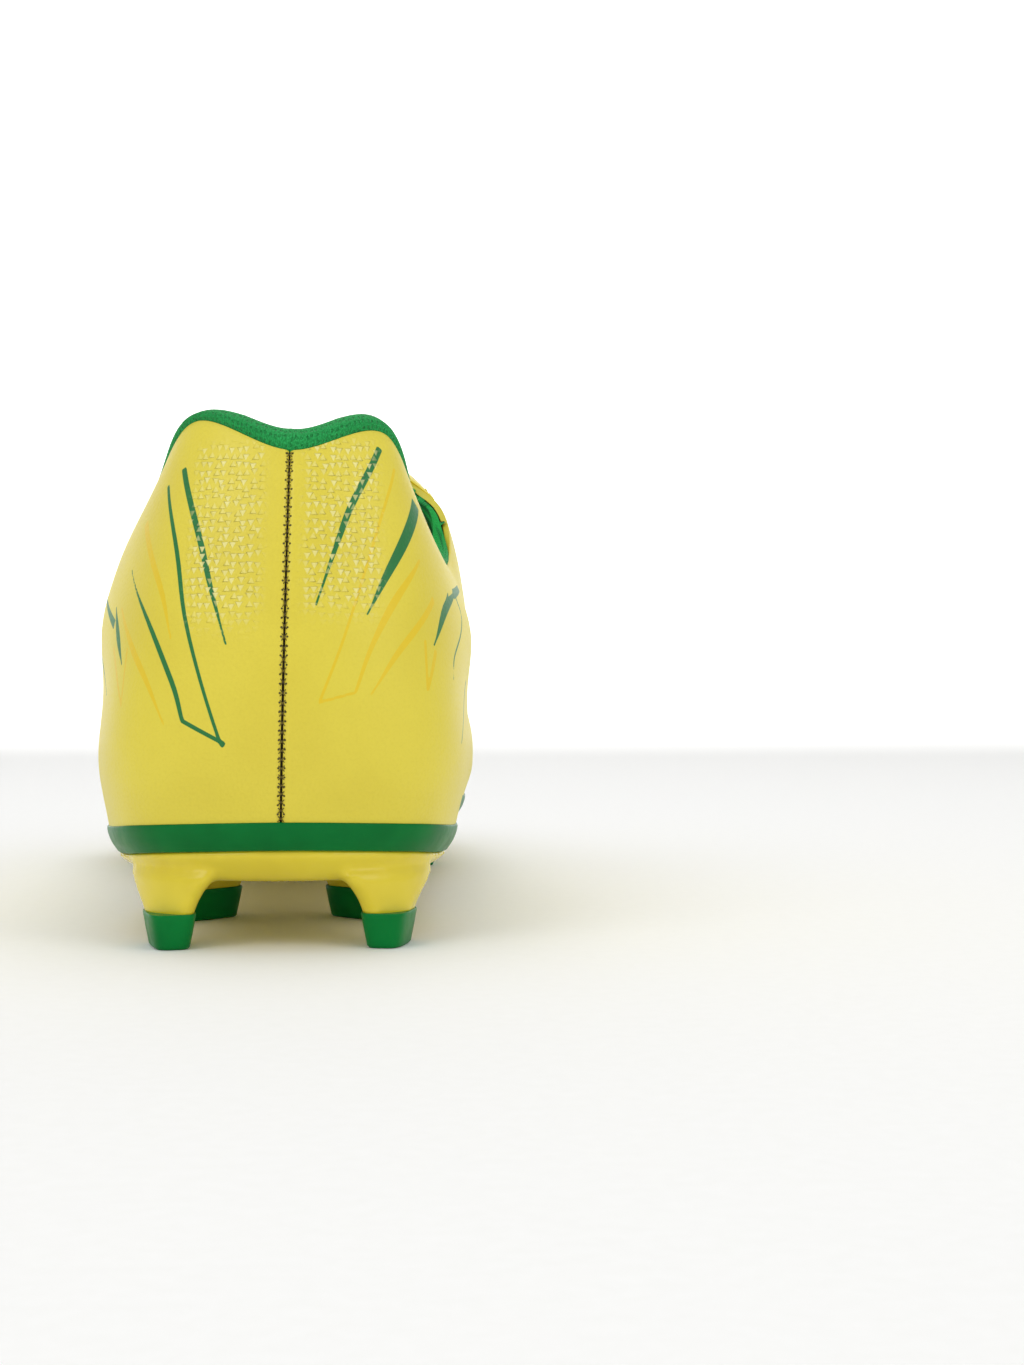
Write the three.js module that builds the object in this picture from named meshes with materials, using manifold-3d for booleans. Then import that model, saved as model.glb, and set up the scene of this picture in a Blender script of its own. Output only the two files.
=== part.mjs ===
// A left football boot for firm ground, built as the separate pieces that it is lasted and moulded from.
// Millimetres. +Y points to the toe, +Z up, +X to the inner (medial) side of the foot.
// The origin is under the middle of the boot, on the ground that the studs stand on.
import * as THREE from "three";
import { mergeVertices } from "three/addons/utils/BufferGeometryUtils.js";
import Module from "manifold-3d";

const wasm = await Module();
wasm.setup();

// ---------------------------------------------------------------- driving dimensions
const bootLength = 280; // heel to toe over the upper
const ballWidth = 94.4; // widest girth, at the ball of the foot
const backHeight = 64.5; // upper's back seam, above the top of the sole band

const studLength = 11.6; // ground to the underside of the sole at the heel
const studTipLength = 6.2;
const plateThickness = 3;
const bandThickness = 3.2;
const bandHeight = 4.6;

const shellThickness = 1.2; // coated synthetic outer
const liningThickness = 0.9;
const counterThickness = 1.0; // heel stiffener
const puffThickness = 0.8; // toe stiffener
const collarFoam = 3.4; // thickest, just under the top line
const boardThickness = 1.5;
const sockThickness = 4;
const tongueSkin = 0.9;
const tongueFoam = 3;

const layerGap = 0.3; // between pieces that touch
const seamGap = 0.4; // back seam and vamp seam, between panel edges

const slotHalfWidth = 13; // throat, between the two eyestays
const eyestayWidth = 15;
const eyestayThickness = 0.9;
const eyeletDiameter = 4;
const eyeletPairs = 6;
const eyeletInset = 6; // from the throat's edge to an eyelet's centre
const laceWidth = 4.6;
const laceThickness = 1.1;

// ---------------------------------------------------------------- lines plan
// One station per row, from the back of the heel to the tip of the toe, in the size that the pattern is cut for.
// Each point is [half width, distance from the heel, height above the feather line], from the feather line,
// where the upper meets the sole band, to the top line or the ridge of the instep.
const pattern = { length: 280, ballWidth: 94.4, backHeight: 64.5 };
const stations = [
  // back of the heel
  { feather: 10.9, points: [[0, 3.6, 0], [0, 1, 10], [0, 0, 21], [0, 0.8, 34], [0, 3, 47], [0, 5.6, 56.5], [0, 8.4, 64.5]] },
  // corner of the heel, up to the ear of the collar
  { feather: 10, points: [[23.4, 12.4, 0], [25.8, 10.2, 10.5], [25.4, 9.8, 22], [23.4, 9.8, 35], [20.6, 11.2, 50], [19, 13.6, 60], [16.8, 16.4, 70.4]] },
  // side of the heel
  { feather: 8.2, points: [[32.1, 37, 0], [34.5, 38, 12], [33.9, 38, 25], [34.2, 38, 38], [31.6, 37.4, 48.5], [28.3, 36.4, 56.5], [24.6, 35, 63]] },
  // ankle, where the top line is lowest
  { feather: 7.6, points: [[32.8, 70, 0], [34.4, 69, 11], [34.4, 68, 22], [35.2, 67, 32], [34.9, 66.5, 40], [33.4, 66, 46.5], [31.2, 65.5, 51]] },
  // front of the collar
  { feather: 7.4, points: [[33, 96, 0], [35, 95, 11], [36, 94, 25], [36, 93, 40], [34, 92, 52], [31.4, 91, 60.5], [28, 89, 67]] },
  // top of the throat
  { feather: 7.2, points: [[34, 118, 0], [36.2, 117, 11], [36.8, 115, 25], [35.4, 113, 42], [30.4, 111, 58], [19.5, 108, 73], [0, 105, 79.5]] },
  // bottom of the throat
  { feather: 6.8, points: [[41.5, 164, 0], [43.4, 163, 8.5], [42, 161, 20], [36, 159, 32], [27, 157.5, 41.5], [14.5, 156, 48], [0, 155, 50.5]] },
  // ball of the foot
  { feather: 6.6, points: [[45.5, 203, 0], [47.2, 202, 7], [45.2, 201, 16], [38, 199, 25], [28, 197.5, 31], [14.5, 196.5, 34.8], [0, 196, 36]] },
  // toe box
  { feather: 8.2, points: [[36.5, 246, 0], [37.8, 246, 6], [35.4, 244.5, 13], [29.5, 242, 18.5], [21.5, 239.5, 22.3], [11, 237.5, 24.8], [0, 236.5, 25.6]] },
  // corner of the toe
  { feather: 10.4, points: [[19.5, 270.5, 0], [20.2, 271.4, 5], [18.8, 269.5, 10.4], [15.4, 265.5, 14.6], [11, 261.5, 17.4], [5.6, 258.5, 19.3], [0, 257, 19.9]] },
  // tip of the toe
  { feather: 11.9, points: [[0, 278.6, 0], [0, 280, 4.6], [0, 278, 9.4], [0, 273.6, 13], [0, 269.6, 15.2], [0, 266.6, 16.6], [0, 265, 17.2]] },
];
const firstRidgeStation = 5; // from here forward the last point of a station is on the ridge
const lastStation = stations.length - 1;
const lastRow = stations[0].points.length - 1;
const grade = {
  across: ballWidth / pattern.ballWidth,
  along: bootLength / pattern.length,
  up: backHeight / pattern.backHeight,
};

// The boot's middle line swings out at the ball and in at the toe, and the heel leans in a little as it rises.
const middleLine = [[0, 0], [60, -1.3], [110, -0.4], [160, -2.6], [205, -7.4], [245, -3.4], [280, 1.5]];
const inwardLean = 0.022;
const leanHeight = 46;

const smooth = (t) => t * t * (3 - 2 * t);
const ramp = (from, to, x) => smooth(THREE.MathUtils.clamp((x - from) / (to - from), 0, 1)); // 0 to 1
const mix = THREE.MathUtils.lerp;

function alongCurve(knots, x) {
  const next = knots.findIndex((knot) => x < knot[0]);
  if (next <= 0) return next ? knots.at(-1)[1] : knots[0][1];
  const [from, to] = [knots[next - 1], knots[next]];
  return mix(from[1], to[1], smooth((x - from[0]) / (to[0] - from[0])));
}

function middleX(y, z) {
  return alongCurve(middleLine, y / grade.along) * grade.across + inwardLean * (z - leanHeight);
}

// Underside of the sole plate: level under the heel and the ball, raised in the waist and sprung at the toe.
function underside(y) {
  const station = y / grade.along;
  const waist = 1.8 * ramp(66, 100, station) * (1 - ramp(118, 150, station));
  const toeSpring = 5 * Math.pow(ramp(215, 300, station), 1.2);
  return studLength + waist + toeSpring;
}
const plateTop = (y) => underside(y) + plateThickness;

// The collar isn't quite alike on the two sides: what each row of a station adds to its height.
const collarShift = {
  1: { inner: [0, 0, 0, 0, -0.3, -0.7, -1.2], outer: [0, 0, 0, 0, 0.2, 0.5, 0.8] },
  2: { inner: [0, 0, -0.5, -1.9, -3.7, -5.7, -7.7], outer: [0, 0, 0, 0, 0, 0, 0] },
};

// A station's point on side half. Before the heel and past the toe the plan goes on round the other side.
function planPoint(station, row, half) {
  let side = 1;
  if (station < 0) {
    station = -station;
    side = -1;
  }
  if (station > lastStation) {
    station = 2 * lastStation - station;
    side = -side;
  }
  const { feather, points } = stations[station];
  const shift = collarShift[station]?.[side * half > 0 ? "inner" : "outer"];
  const place = (index) => {
    const [x, y, z] = points[index];
    const height = z + (shift ? shift[index] : 0);
    return new THREE.Vector3(side * x * grade.across, y * grade.along, studLength + feather + height * grade.up);
  };
  if (row >= 0 && row <= lastRow) return place(row);
  const [end, before] = row < 0 ? [0, 1] : [lastRow, lastRow - 1];
  if (row > lastRow && station >= firstRidgeStation) return place(before).multiply(new THREE.Vector3(-1, 1, 1));
  return place(end).multiplyScalar(2).sub(place(before));
}

function catmullRom(a, b, c, d, t) {
  const sum = new THREE.Vector3();
  const weights = [
    (-t + 2 * t * t - t * t * t) / 2,
    (2 - 5 * t * t + 3 * t * t * t) / 2,
    (t + 4 * t * t - 3 * t * t * t) / 2,
    (-t * t + t * t * t) / 2,
  ];
  [a, b, c, d].forEach((point, i) => sum.addScaledVector(point, weights[i]));
  return sum;
}

// The upper's outer surface: u runs from the heel (0) to the toe (1), v from the feather line (0) to the top (1),
// and side is 1 on the inner side of the foot and -1 on the outer side. A negative u is on the other side.
function surface(u, v, side) {
  const across = THREE.MathUtils.clamp(u, -0.05, 1.05) * lastStation;
  const up = THREE.MathUtils.clamp(v, 0, 1) * lastRow;
  const station = Math.min(Math.floor(across), lastStation - (u < 1 ? 1 : 0));
  const row = Math.min(Math.floor(up), lastRow - 1);
  const columns = [-1, 0, 1, 2].map((step) => {
    const points = [-1, 0, 1, 2].map((rise) => planPoint(station + step, row + rise, side));
    return catmullRom(...points, up - row);
  });
  const point = catmullRom(...columns, across - station);
  point.x = middleX(point.y, point.z) + side * point.x;
  return point;
}

// Unit vector square to the surface, pointing out of the boot. On the ridge it is the mean of the two sides.
function outward(u, v, side) {
  const step = 0.004;
  const square = (half) => {
    const [low, high] = v > 0.5 ? [v - step, v] : [v, v + step];
    const along = surface(u + step, v, half).sub(surface(u - step, v, half));
    const up = surface(u, high, half).sub(surface(u, low, half));
    return along.cross(up).multiplyScalar(half).normalize();
  };
  const onRidge = v > 0.9999 && u * lastStation > firstRidgeStation - 0.001;
  return onRidge ? square(1).add(square(-1)).normalize() : square(side);
}

const skin = (u, v, side, depth) => surface(u, v, side).addScaledVector(outward(u, v, side), depth);

// The feather line moved in towards the foot by inset, at height z.
function sole(u, side, inset, z) {
  const step = 0.004;
  const edge = surface(u, 0, side);
  const along = surface(u + step, 0, side).sub(surface(u - step, 0, side));
  const out = new THREE.Vector3(along.y, -along.x, 0).multiplyScalar(side).normalize();
  edge.addScaledVector(out, -inset);
  edge.z = z;
  return edge;
}

// ---------------------------------------------------------------- building closed solids
function solidGeometry(points, faces) {
  const positions = faces.flat().flatMap((index) => points[index].toArray());
  const loose = new THREE.BufferGeometry();
  loose.setAttribute("position", new THREE.Float32BufferAttribute(positions, 3));
  const merged = mergeVertices(loose, 1e-3);
  const index = merged.index.array;
  const kept = [];
  for (let i = 0; i < index.length; i += 3) {
    const [a, b, c] = index.slice(i, i + 3);
    if (a !== b && b !== c && a !== c) kept.push(a, b, c);
  }
  merged.setIndex(kept);
  return merged;
}

// Every layer of the upper is laid on this one net of lines, so that layers never cross between its points.
const netColumns = [0, 0.35, 0.7, 1, 1.35, 1.7, 2.1, 2.6, 3.2, 3.8, 4.3, 4.65, 5, 5.3, 5.6, 5.9, 6.2, 6.8, 7.4, 8, 8.45, 8.9, 9.3, 9.65, 10];
const netRows = [0, 0.8, 1.6, 2.3, 3, 3.6, 4.2, 4.8, 5.2, 5.6, 6];
const ridgeColumn = netColumns.indexOf(firstRidgeStation);

// A point on the flat facets of the net, where skin gives the smooth surface that they follow.
function facet(u, v, side, depth) {
  const cell = (lines, value) => {
    const next = lines.findIndex((line, i) => i > 0 && value <= line + 1e-9);
    return [next - 1, (value - lines[next - 1]) / (lines[next] - lines[next - 1])];
  };
  const [i, s] = cell(netColumns, u * lastStation);
  const [j, t] = cell(netRows, v * lastRow);
  const corner = (k, l) => skin(netColumns[k] / lastStation, netRows[l] / lastRow, side, depth);
  const [low, high] = [corner(i, j), corner(i + 1, j + 1)];
  const between = s > t ? corner(i + 1, j) : corner(i, j + 1);
  return low.multiplyScalar(1 - Math.max(s, t)).addScaledVector(high, Math.min(s, t))
    .addScaledVector(between, Math.abs(s - t));
}

// A closed layer of the upper over part of the net, between two depths that may vary with u and v.
// reach and height choose the net's cells, and sides is [1], [-1] or both.
// It stops short by trim where it begins or ends between the heel and the toe.
function layer({ sides = [1, -1], reach = [0, 1], height = [0, 1], trim = 0, outer, inner }) {
  const columns = netColumns.map((station) => station / lastStation);
  const rows = netRows.map((row) => row / lastRow);
  const inside = (range, from, to) => from >= range[0] - 1e-9 && to <= range[1] + 1e-9;
  const holds = (i, j, side) =>
    sides.includes(side) && i >= 0 && j >= 0 && i < columns.length - 1 && j < rows.length - 1
    && inside(reach, columns[i], columns[i + 1]) && inside(height, rows[j], rows[j + 1]);
  // The heel, the toe and the ridge are folds: past them lies the same cell of the other side.
  const neighbour = (i, j, side) => {
    if (i < 0) return holds(0, j, -side);
    if (i > columns.length - 2) return holds(i - 1, j, -side);
    if (j > rows.length - 2) return i >= ridgeColumn && holds(i, j - 1, -side);
    return holds(i, j, side);
  };
  const points = [];
  const faces = [];
  const numbers = new Map();
  const number = (i, j, half, deep) => {
    const folded = sides.length > 1
      && (i === 0 || i === columns.length - 1 || (i >= ridgeColumn && j === rows.length - 1));
    const side = folded ? 1 : half;
    const key = [i, j, side, deep].join();
    if (!numbers.has(key)) {
      const edge = (columns[i] === reach[0] && i > 0) - (columns[i] === reach[1] && i < columns.length - 1);
      const [u, v] = [i === 0 && sides.length === 1 ? seamStart : columns[i] + edge * trim, rows[j]];
      numbers.set(key, points.length);
      points.push(skin(u, v, side, -(deep ? inner : outer)(u, v)));
    }
    return numbers.get(key);
  };
  // Every quad is split along the same diagonal, whichever way it faces.
  const quad = ([a, b, c, d], facing) => {
    if (facing > 0) faces.push([a, b, c], [a, c, d]);
    else faces.push([a, c, b], [a, d, c]);
  };
  const wall = (i, j, k, l, side) =>
    quad([number(i, j, side, 1), number(k, l, side, 1), number(k, l, side, 0), number(i, j, side, 0)], side);
  for (const side of sides) {
    for (let i = 0; i < columns.length - 1; i++) {
      for (let j = 0; j < rows.length - 1; j++) {
        if (!holds(i, j, side)) continue;
        const cell = [[i, j], [i + 1, j], [i + 1, j + 1], [i, j + 1]];
        quad(cell.map(([k, l]) => number(k, l, side, 0)), side);
        quad(cell.map(([k, l]) => number(k, l, side, 1)), -side);
        if (!neighbour(i, j - 1, side)) wall(i, j, i + 1, j, side);
        if (!neighbour(i + 1, j, side)) wall(i + 1, j, i + 1, j + 1, side);
        if (!neighbour(i, j + 1, side)) wall(i + 1, j + 1, i, j + 1, side);
        if (!neighbour(i - 1, j, side)) wall(i, j + 1, i, j, side);
      }
    }
  }
  return facingOut(solidGeometry(points, faces));
}

// A sheet of quads between an outer and an inner surface, closed round its four edges.
function thickPatch(columns, rows, outer, inner) {
  const points = [];
  const faces = [];
  const at = (sheet, i, j) => sheet * (columns + 1) * (rows + 1) + i * (rows + 1) + j;
  for (const sheet of [outer, inner]) {
    for (let i = 0; i <= columns; i++) {
      for (let j = 0; j <= rows; j++) points.push(sheet(i / columns, j / rows));
    }
  }
  const quad = (a, b, c, d) => faces.push([a, b, c], [a, c, d]);
  for (let i = 0; i < columns; i++) {
    for (let j = 0; j < rows; j++) {
      quad(at(0, i, j), at(0, i + 1, j), at(0, i + 1, j + 1), at(0, i, j + 1));
      quad(at(1, i, j), at(1, i, j + 1), at(1, i + 1, j + 1), at(1, i + 1, j));
    }
    quad(at(0, i, 0), at(1, i, 0), at(1, i + 1, 0), at(0, i + 1, 0));
    quad(at(0, i, rows), at(0, i + 1, rows), at(1, i + 1, rows), at(1, i, rows));
  }
  for (let j = 0; j < rows; j++) {
    quad(at(0, 0, j), at(0, 0, j + 1), at(1, 0, j + 1), at(1, 0, j));
    quad(at(0, columns, j), at(1, columns, j), at(1, columns, j + 1), at(0, columns, j + 1));
  }
  return facingOut(solidGeometry(points, faces));
}

// Loops of equal length joined one to the next. The ends are capped by a ladder, or meet as a ring.
function stackLoops(loops, ring = false) {
  const count = loops[0].length;
  const faces = [];
  const levels = ring ? loops.length : loops.length - 1;
  for (let level = 0; level < levels; level++) {
    const above = (level + 1) % loops.length;
    for (let i = 0; i < count; i++) {
      const next = (i + 1) % count;
      const [a, b] = [level * count + i, level * count + next];
      const [c, d] = [above * count + next, above * count + i];
      faces.push([a, b, c], [a, c, d]);
    }
  }
  const cap = (level, flip) => {
    for (let i = 0; i < count / 2 - 1; i++) {
      const [a, b] = [level * count + i, level * count + i + 1];
      const [c, d] = [level * count + count - 2 - i, level * count + ((count - 1 - i) % count)];
      faces.push(flip ? [a, c, b] : [a, b, c], flip ? [a, d, c] : [a, c, d]);
    }
  };
  if (!ring) {
    cap(0, true);
    cap(loops.length - 1, false);
  }
  return facingOut(solidGeometry(loops.flat(), faces));
}

function volumeOf(geometry) {
  const [a, b, c] = [new THREE.Vector3(), new THREE.Vector3(), new THREE.Vector3()];
  const { position } = geometry.attributes;
  let sum = 0;
  for (let i = 0; i < geometry.index.count; i += 3) {
    [a, b, c].forEach((corner, k) => corner.fromBufferAttribute(position, geometry.index.getX(i + k)));
    sum += a.dot(b.cross(c)) / 6;
  }
  return sum;
}

function facingOut(geometry) {
  if (volumeOf(geometry) > 0) return geometry;
  const index = Array.from(geometry.index.array);
  for (let i = 0; i < index.length; i += 3) [index[i + 1], index[i + 2]] = [index[i + 2], index[i + 1]];
  geometry.setIndex(index);
  return geometry;
}

function toSolid(geometry) {
  const vertProperties = new Float32Array(geometry.attributes.position.array);
  const triVerts = new Uint32Array(geometry.index.array);
  return new wasm.Manifold(new wasm.Mesh({ numProp: 3, vertProperties, triVerts }));
}

function toGeometry(solid) {
  const mesh = solid.getMesh();
  const geometry = new THREE.BufferGeometry();
  geometry.setAttribute("position", new THREE.Float32BufferAttribute(mesh.vertProperties, 3));
  geometry.setIndex(Array.from(mesh.triVerts));
  return geometry;
}

const cut = (geometry, ...tools) =>
  toGeometry(tools.reduce((solid, tool) => solid.subtract(toSolid(tool)), toSolid(geometry)));
const join = (geometry, ...others) =>
  toGeometry(others.reduce((solid, other) => solid.add(toSolid(other)), toSolid(geometry)));

function mergedCopy(geometry) {
  geometry.deleteAttribute("normal");
  geometry.deleteAttribute("uv");
  return mergeVertices(geometry, 1e-4);
}

// ---------------------------------------------------------------- layers of the upper
const collarEnd = 0.43; // u where the quarter's lining meets the vamp's lining
const throatEnd = 0.615; // u at the bottom of the throat
const counterEnd = 0.26;
const counterTop = 0.5;
const padEnd = 0.37;
const padFoot = 0.6;
const puffStart = 0.87;
const liningTrim = 0.0012; // half of the gap between the two linings, as a share of the boot's length
const edgeOfSeam = seamGap / 2;
const throatHalf = (share) => slotHalfWidth * mix(0.84, 1.08, share);
const seamStart = edgeOfSeam / (stations[1].points[0][0] * grade.across * lastStation);

// Foam under the top line: thickest at the top, fading out down the quarter and towards the throat.
function padDepth(u, v) {
  const swell = (collarFoam - 0.6) * ramp(0.55, 0.86, v) * (1 - ramp(0.26, padEnd + 0.02, u));
  const base = 0.6 * ramp(padFoot - 0.1, padFoot, v) * (1 - ramp(padEnd, padEnd + 0.06, u));
  return swell + base;
}

// What lies between the outer and the lining at a place: stiffener, foam or nothing.
function fillDepth(u, v) {
  const counter = counterThickness * (1 - ramp(counterEnd, 0.36, u)) * (1 - ramp(counterTop, 0.7, v));
  const puff = puffThickness * ramp(puffStart - 0.1, puffStart, u);
  return Math.max(counter, puff, padDepth(u, v));
}

const coreFace = shellThickness + layerGap;
const liningFace = (u, v) => coreFace + fillDepth(u, v) + (fillDepth(u, v) > 0 ? layerGap : 0);
const insideFace = (u, v) => liningFace(u, v) + liningThickness;

const netLine = (lines, value) => lines.reduce((best, line) =>
  (Math.abs(line - value) < Math.abs(best - value) ? line : best));
const columnAt = (u) => netLine(netColumns, u * lastStation) / lastStation;
const rowAt = (v) => netLine(netRows, v * lastRow) / lastRow;

const panel = (side) => layer({ sides: side, outer: () => 0, inner: () => shellThickness });

// A block seen from the side, as wide as the boot: everything in front of the seam from quarter to vamp.
function vampRegion(shift) {
  const shape = new THREE.Shape();
  const seam = [[0, 140], [24, 146], [44, 151], [60, 155], [66, 157], [75, 159], [120, 170]];
  const front = bootLength + 20;
  shape.moveTo(front, 0);
  seam.forEach(([z, y]) => shape.lineTo(y * grade.along + shift, z));
  shape.lineTo(front, 120);
  const block = new THREE.ExtrudeGeometry(shape, { depth: 140, bevelEnabled: false });
  block.applyMatrix4(new THREE.Matrix4().set(0, 0, 1, -70, 1, 0, 0, 0, 0, 1, 0, 0, 0, 0, 0, 1));
  return mergedCopy(block);
}

// The throat, cut straight down through the upper: a slot with a round foot.
function throatCutter(clearance, depth = 80) {
  const half = (share) => (throatHalf(share) + clearance) * grade.across;
  const foot = surface(throatEnd, 1, 1).y + clearance;
  const turn = foot - half(0);
  const back = surface(0.36, 1, 1).y;
  const shape = new THREE.Shape();
  shape.moveTo(-half(1.2), back);
  shape.lineTo(half(1.2), back);
  shape.lineTo(half(0), turn);
  shape.absarc(0, turn, half(0), 0, Math.PI, false);
  shape.lineTo(-half(1.2), back);
  const tool = new THREE.ExtrudeGeometry(shape, { depth, bevelEnabled: false, curveSegments: 8 });
  tool.translate(middleX(foot - 25, 75), 0, 120 - depth);
  return mergedCopy(tool);
}

function quarter(side) {
  return cut(panel([side]), vampRegion(-seamGap / 2), throatCutter(0), ...eyelets(side, eyeletDiameter));
}

function vamp() {
  const region = toSolid(vampRegion(seamGap / 2));
  return toGeometry(toSolid(panel([1, -1])).intersect(region).subtract(toSolid(throatCutter(0))));
}

const heelCounter = () => layer({
  reach: [0, columnAt(counterEnd)],
  height: [rowAt(0.1), rowAt(counterTop)],
  outer: () => coreFace,
  inner: () => coreFace + counterThickness,
});

const collarPad = () => layer({
  reach: [0, columnAt(padEnd)],
  height: [rowAt(padFoot), 1],
  outer: () => coreFace,
  inner: (u, v) => coreFace + padDepth(u, v),
});

const toePuff = () => layer({
  reach: [columnAt(puffStart), 1],
  height: [rowAt(0.1), 1],
  outer: () => coreFace,
  inner: () => coreFace + puffThickness,
});

// The collar lining climbs the inside of the quarters, then rolls out over the foam to the edge of the outer.
function collarRoll() {
  const angles = [180, 180, 150, 120, 90, 60, 30, 0].map(THREE.MathUtils.degToRad);
  const end = columnAt(collarEnd);
  const half = netColumns.map((station) => station / lastStation).filter((u) => u <= end);
  half[half.length - 1] -= liningTrim;
  const places = [...half.slice(1).reverse().map((u) => [u, -1]), ...half.map((u) => [u, 1])];
  const place = (thick) => (a, b) => {
    const [u, side] = places[Math.round(a * (places.length - 1))];
    const row = Math.round(b * (angles.length - 1));
    const [deep, shallow] = [insideFace(u, 1), layerGap];
    const reach = (deep - shallow) / 2 - (thick ? 0 : liningThickness);
    const rim = surface(u, 1, side);
    const up = rim.clone().sub(surface(u, 0.98, side)).normalize();
    const lift = row ? layerGap + reach * Math.sin(angles[row]) : -3 * layerGap;
    const across = -(deep + shallow) / 2 + reach * Math.cos(angles[row]);
    return rim.addScaledVector(outward(u, 1, side), across).addScaledVector(up, lift);
  };
  return thickPatch(places.length - 1, angles.length - 1, place(true), place(false));
}

function collarLining() {
  const wall = layer({
    reach: [0, columnAt(collarEnd)],
    trim: liningTrim,
    outer: liningFace,
    inner: insideFace,
  });
  return cut(join(wall, collarRoll()), throatCutter(0));
}

function vampLining() {
  const sheet = layer({
    reach: [columnAt(collarEnd), 1],
    trim: liningTrim,
    outer: liningFace,
    inner: insideFace,
  });
  return cut(sheet, throatCutter(0), ...eyelets(1, eyeletDiameter), ...eyelets(-1, eyeletDiameter));
}

// ---------------------------------------------------------------- throat: eyestays, eyelets, lace and tongue
// v on the surface at a distance across from the middle line.
function rowAtHalfWidth(u, side, halfWidth) {
  let [low, high] = [0.5, 1];
  for (let i = 0; i < 24; i++) {
    const v = (low + high) / 2;
    const point = facet(u, v, side, 0);
    if (Math.abs(point.x - middleX(point.y, point.z)) > halfWidth) low = v;
    else high = v;
  }
  return low;
}

// Eyelet i of a side, counted from the foot of the throat up: its u, v and place on the surface.
function eyeletPlace(i, side) {
  const share = i / (eyeletPairs - 1);
  const u = mix(throatEnd - 0.026, 0.499, share);
  const v = rowAtHalfWidth(u, side, (throatHalf(share) + eyeletInset) * grade.across);
  return { u, v, side };
}

function eyelets(side, diameter) {
  return Array.from({ length: eyeletPairs }, (_, i) => {
    const { u, v } = eyeletPlace(i, side);
    const hole = new THREE.CylinderGeometry(diameter / 2, diameter / 2, 14, 12);
    hole.applyQuaternion(new THREE.Quaternion().setFromUnitVectors(new THREE.Vector3(0, 1, 0), outward(u, v, side)));
    hole.translate(...facet(u, v, side, 0).toArray());
    return mergedCopy(hole);
  });
}

function eyestay(side) {
  const strip = layer({
    sides: [side],
    reach: [columnAt(0.37), columnAt(0.68)],
    height: [rowAt(0.5), 1],
    outer: () => -layerGap - eyestayThickness,
    inner: () => -layerGap,
  });
  const region = toSolid(throatCutter(eyestayWidth)).subtract(toSolid(throatCutter(-0.8)));
  const piece = toSolid(strip).intersect(region).subtract(toSolid(vampRegion(-1)));
  return cut(toGeometry(piece), ...eyelets(side, eyeletDiameter));
}

const laceSlack = 0.25; // the lace clears the folds of the panels by this much more
const laceRun = shellThickness + 2 * layerGap + liningThickness + laceSlack + laceThickness / 2; // depth of a hidden run
const tongueTop = laceRun + laceThickness / 2 + layerGap;

// The tongue lies inside the throat, swells up between the eyestays, then stands up past the collar.
const tongueHalf = 20;
const tongueStand = 8;
const tongueSwell = 3.1;
function tongueSheet(a, b, depth) {
  const across = 2 * b - 1;
  const side = across < 0 ? -1 : 1;
  const covered = 0.82;
  const along = Math.min(a / covered, 1);
  const u = mix(throatEnd - 0.012, 0.5, along);
  const half = tongueHalf * grade.across * mix(1, 0.6, a) * Math.abs(across);
  const v = rowAtHalfWidth(u, side, Math.max(half, 0.001));
  const swell = tongueSwell * ramp(0.42, 0, Math.abs(across)) * ramp(0, 0.08, a) * (1 - ramp(0.7, 1, a));
  const point = facet(u, v, side, swell - depth);
  if (a <= covered) return point;
  const rise = (a - covered) / (1 - covered);
  const reach = tongueStand * rise * (1 - 0.2 * across * across);
  return point.add(new THREE.Vector3(0, -0.97 * reach, 0.25 * reach));
}

function tongueLayer(top, thickness) {
  const place = (depth) => (a, b) => tongueSheet(a, b, depth);
  return thickPatch(12, 10, place(top), place(top + thickness));
}

// The lace snakes up the throat: a straight bar over each pair of eyelets, and inside the boot a short run from
// each pair to the next, on alternate sides. Each step has a place, the direction of its width, and its size.
const overTop = 2 * layerGap + eyestayThickness + 2 * laceSlack + laceThickness / 2; // height of a bar above the outer
const towardHeel = new THREE.Vector3(0, -0.86, 0.51);

function eyeletFrame({ u, v, side }) {
  const up = outward(u, v, side);
  const along = towardHeel.clone().addScaledVector(up, -towardHeel.dot(up)).normalize();
  const inward = along.clone().cross(up).normalize();
  if (inward.x * side > 0) inward.negate();
  return { centre: facet(u, v, side, 0), up, along, inward };
}

// From the end of a bar down through its eyelet to the start of the run inside, which heads up or down the throat.
function throughEyelet(eyelet, heading) {
  const { centre, up, along, inward } = eyeletFrame(eyelet);
  const step = (rise, towardSlot, upThroat, width, size) => ({
    place: centre.clone().addScaledVector(up, rise).addScaledVector(inward, towardSlot)
      .addScaledVector(along, upThroat * heading),
    width,
    size,
  });
  const twist = along.clone().add(inward).normalize();
  return [
    step(overTop, 1.7, 0, along, [laceWidth, laceThickness]),
    step(overTop - 0.4, 0.6, 0, along, [2.6, 1.1]),
    step(0.4, 0, 0, twist, [1.9, 1.6]),
    step(-1.6, 0, 0, inward, [1.9, 1.6]),
    step(-laceRun + 0.35, 0, 0.5, inward, [3, 1.2]),
    step(-laceRun, 0, 1.8, inward, [laceWidth * 0.9, laceThickness]),
  ];
}

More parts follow.
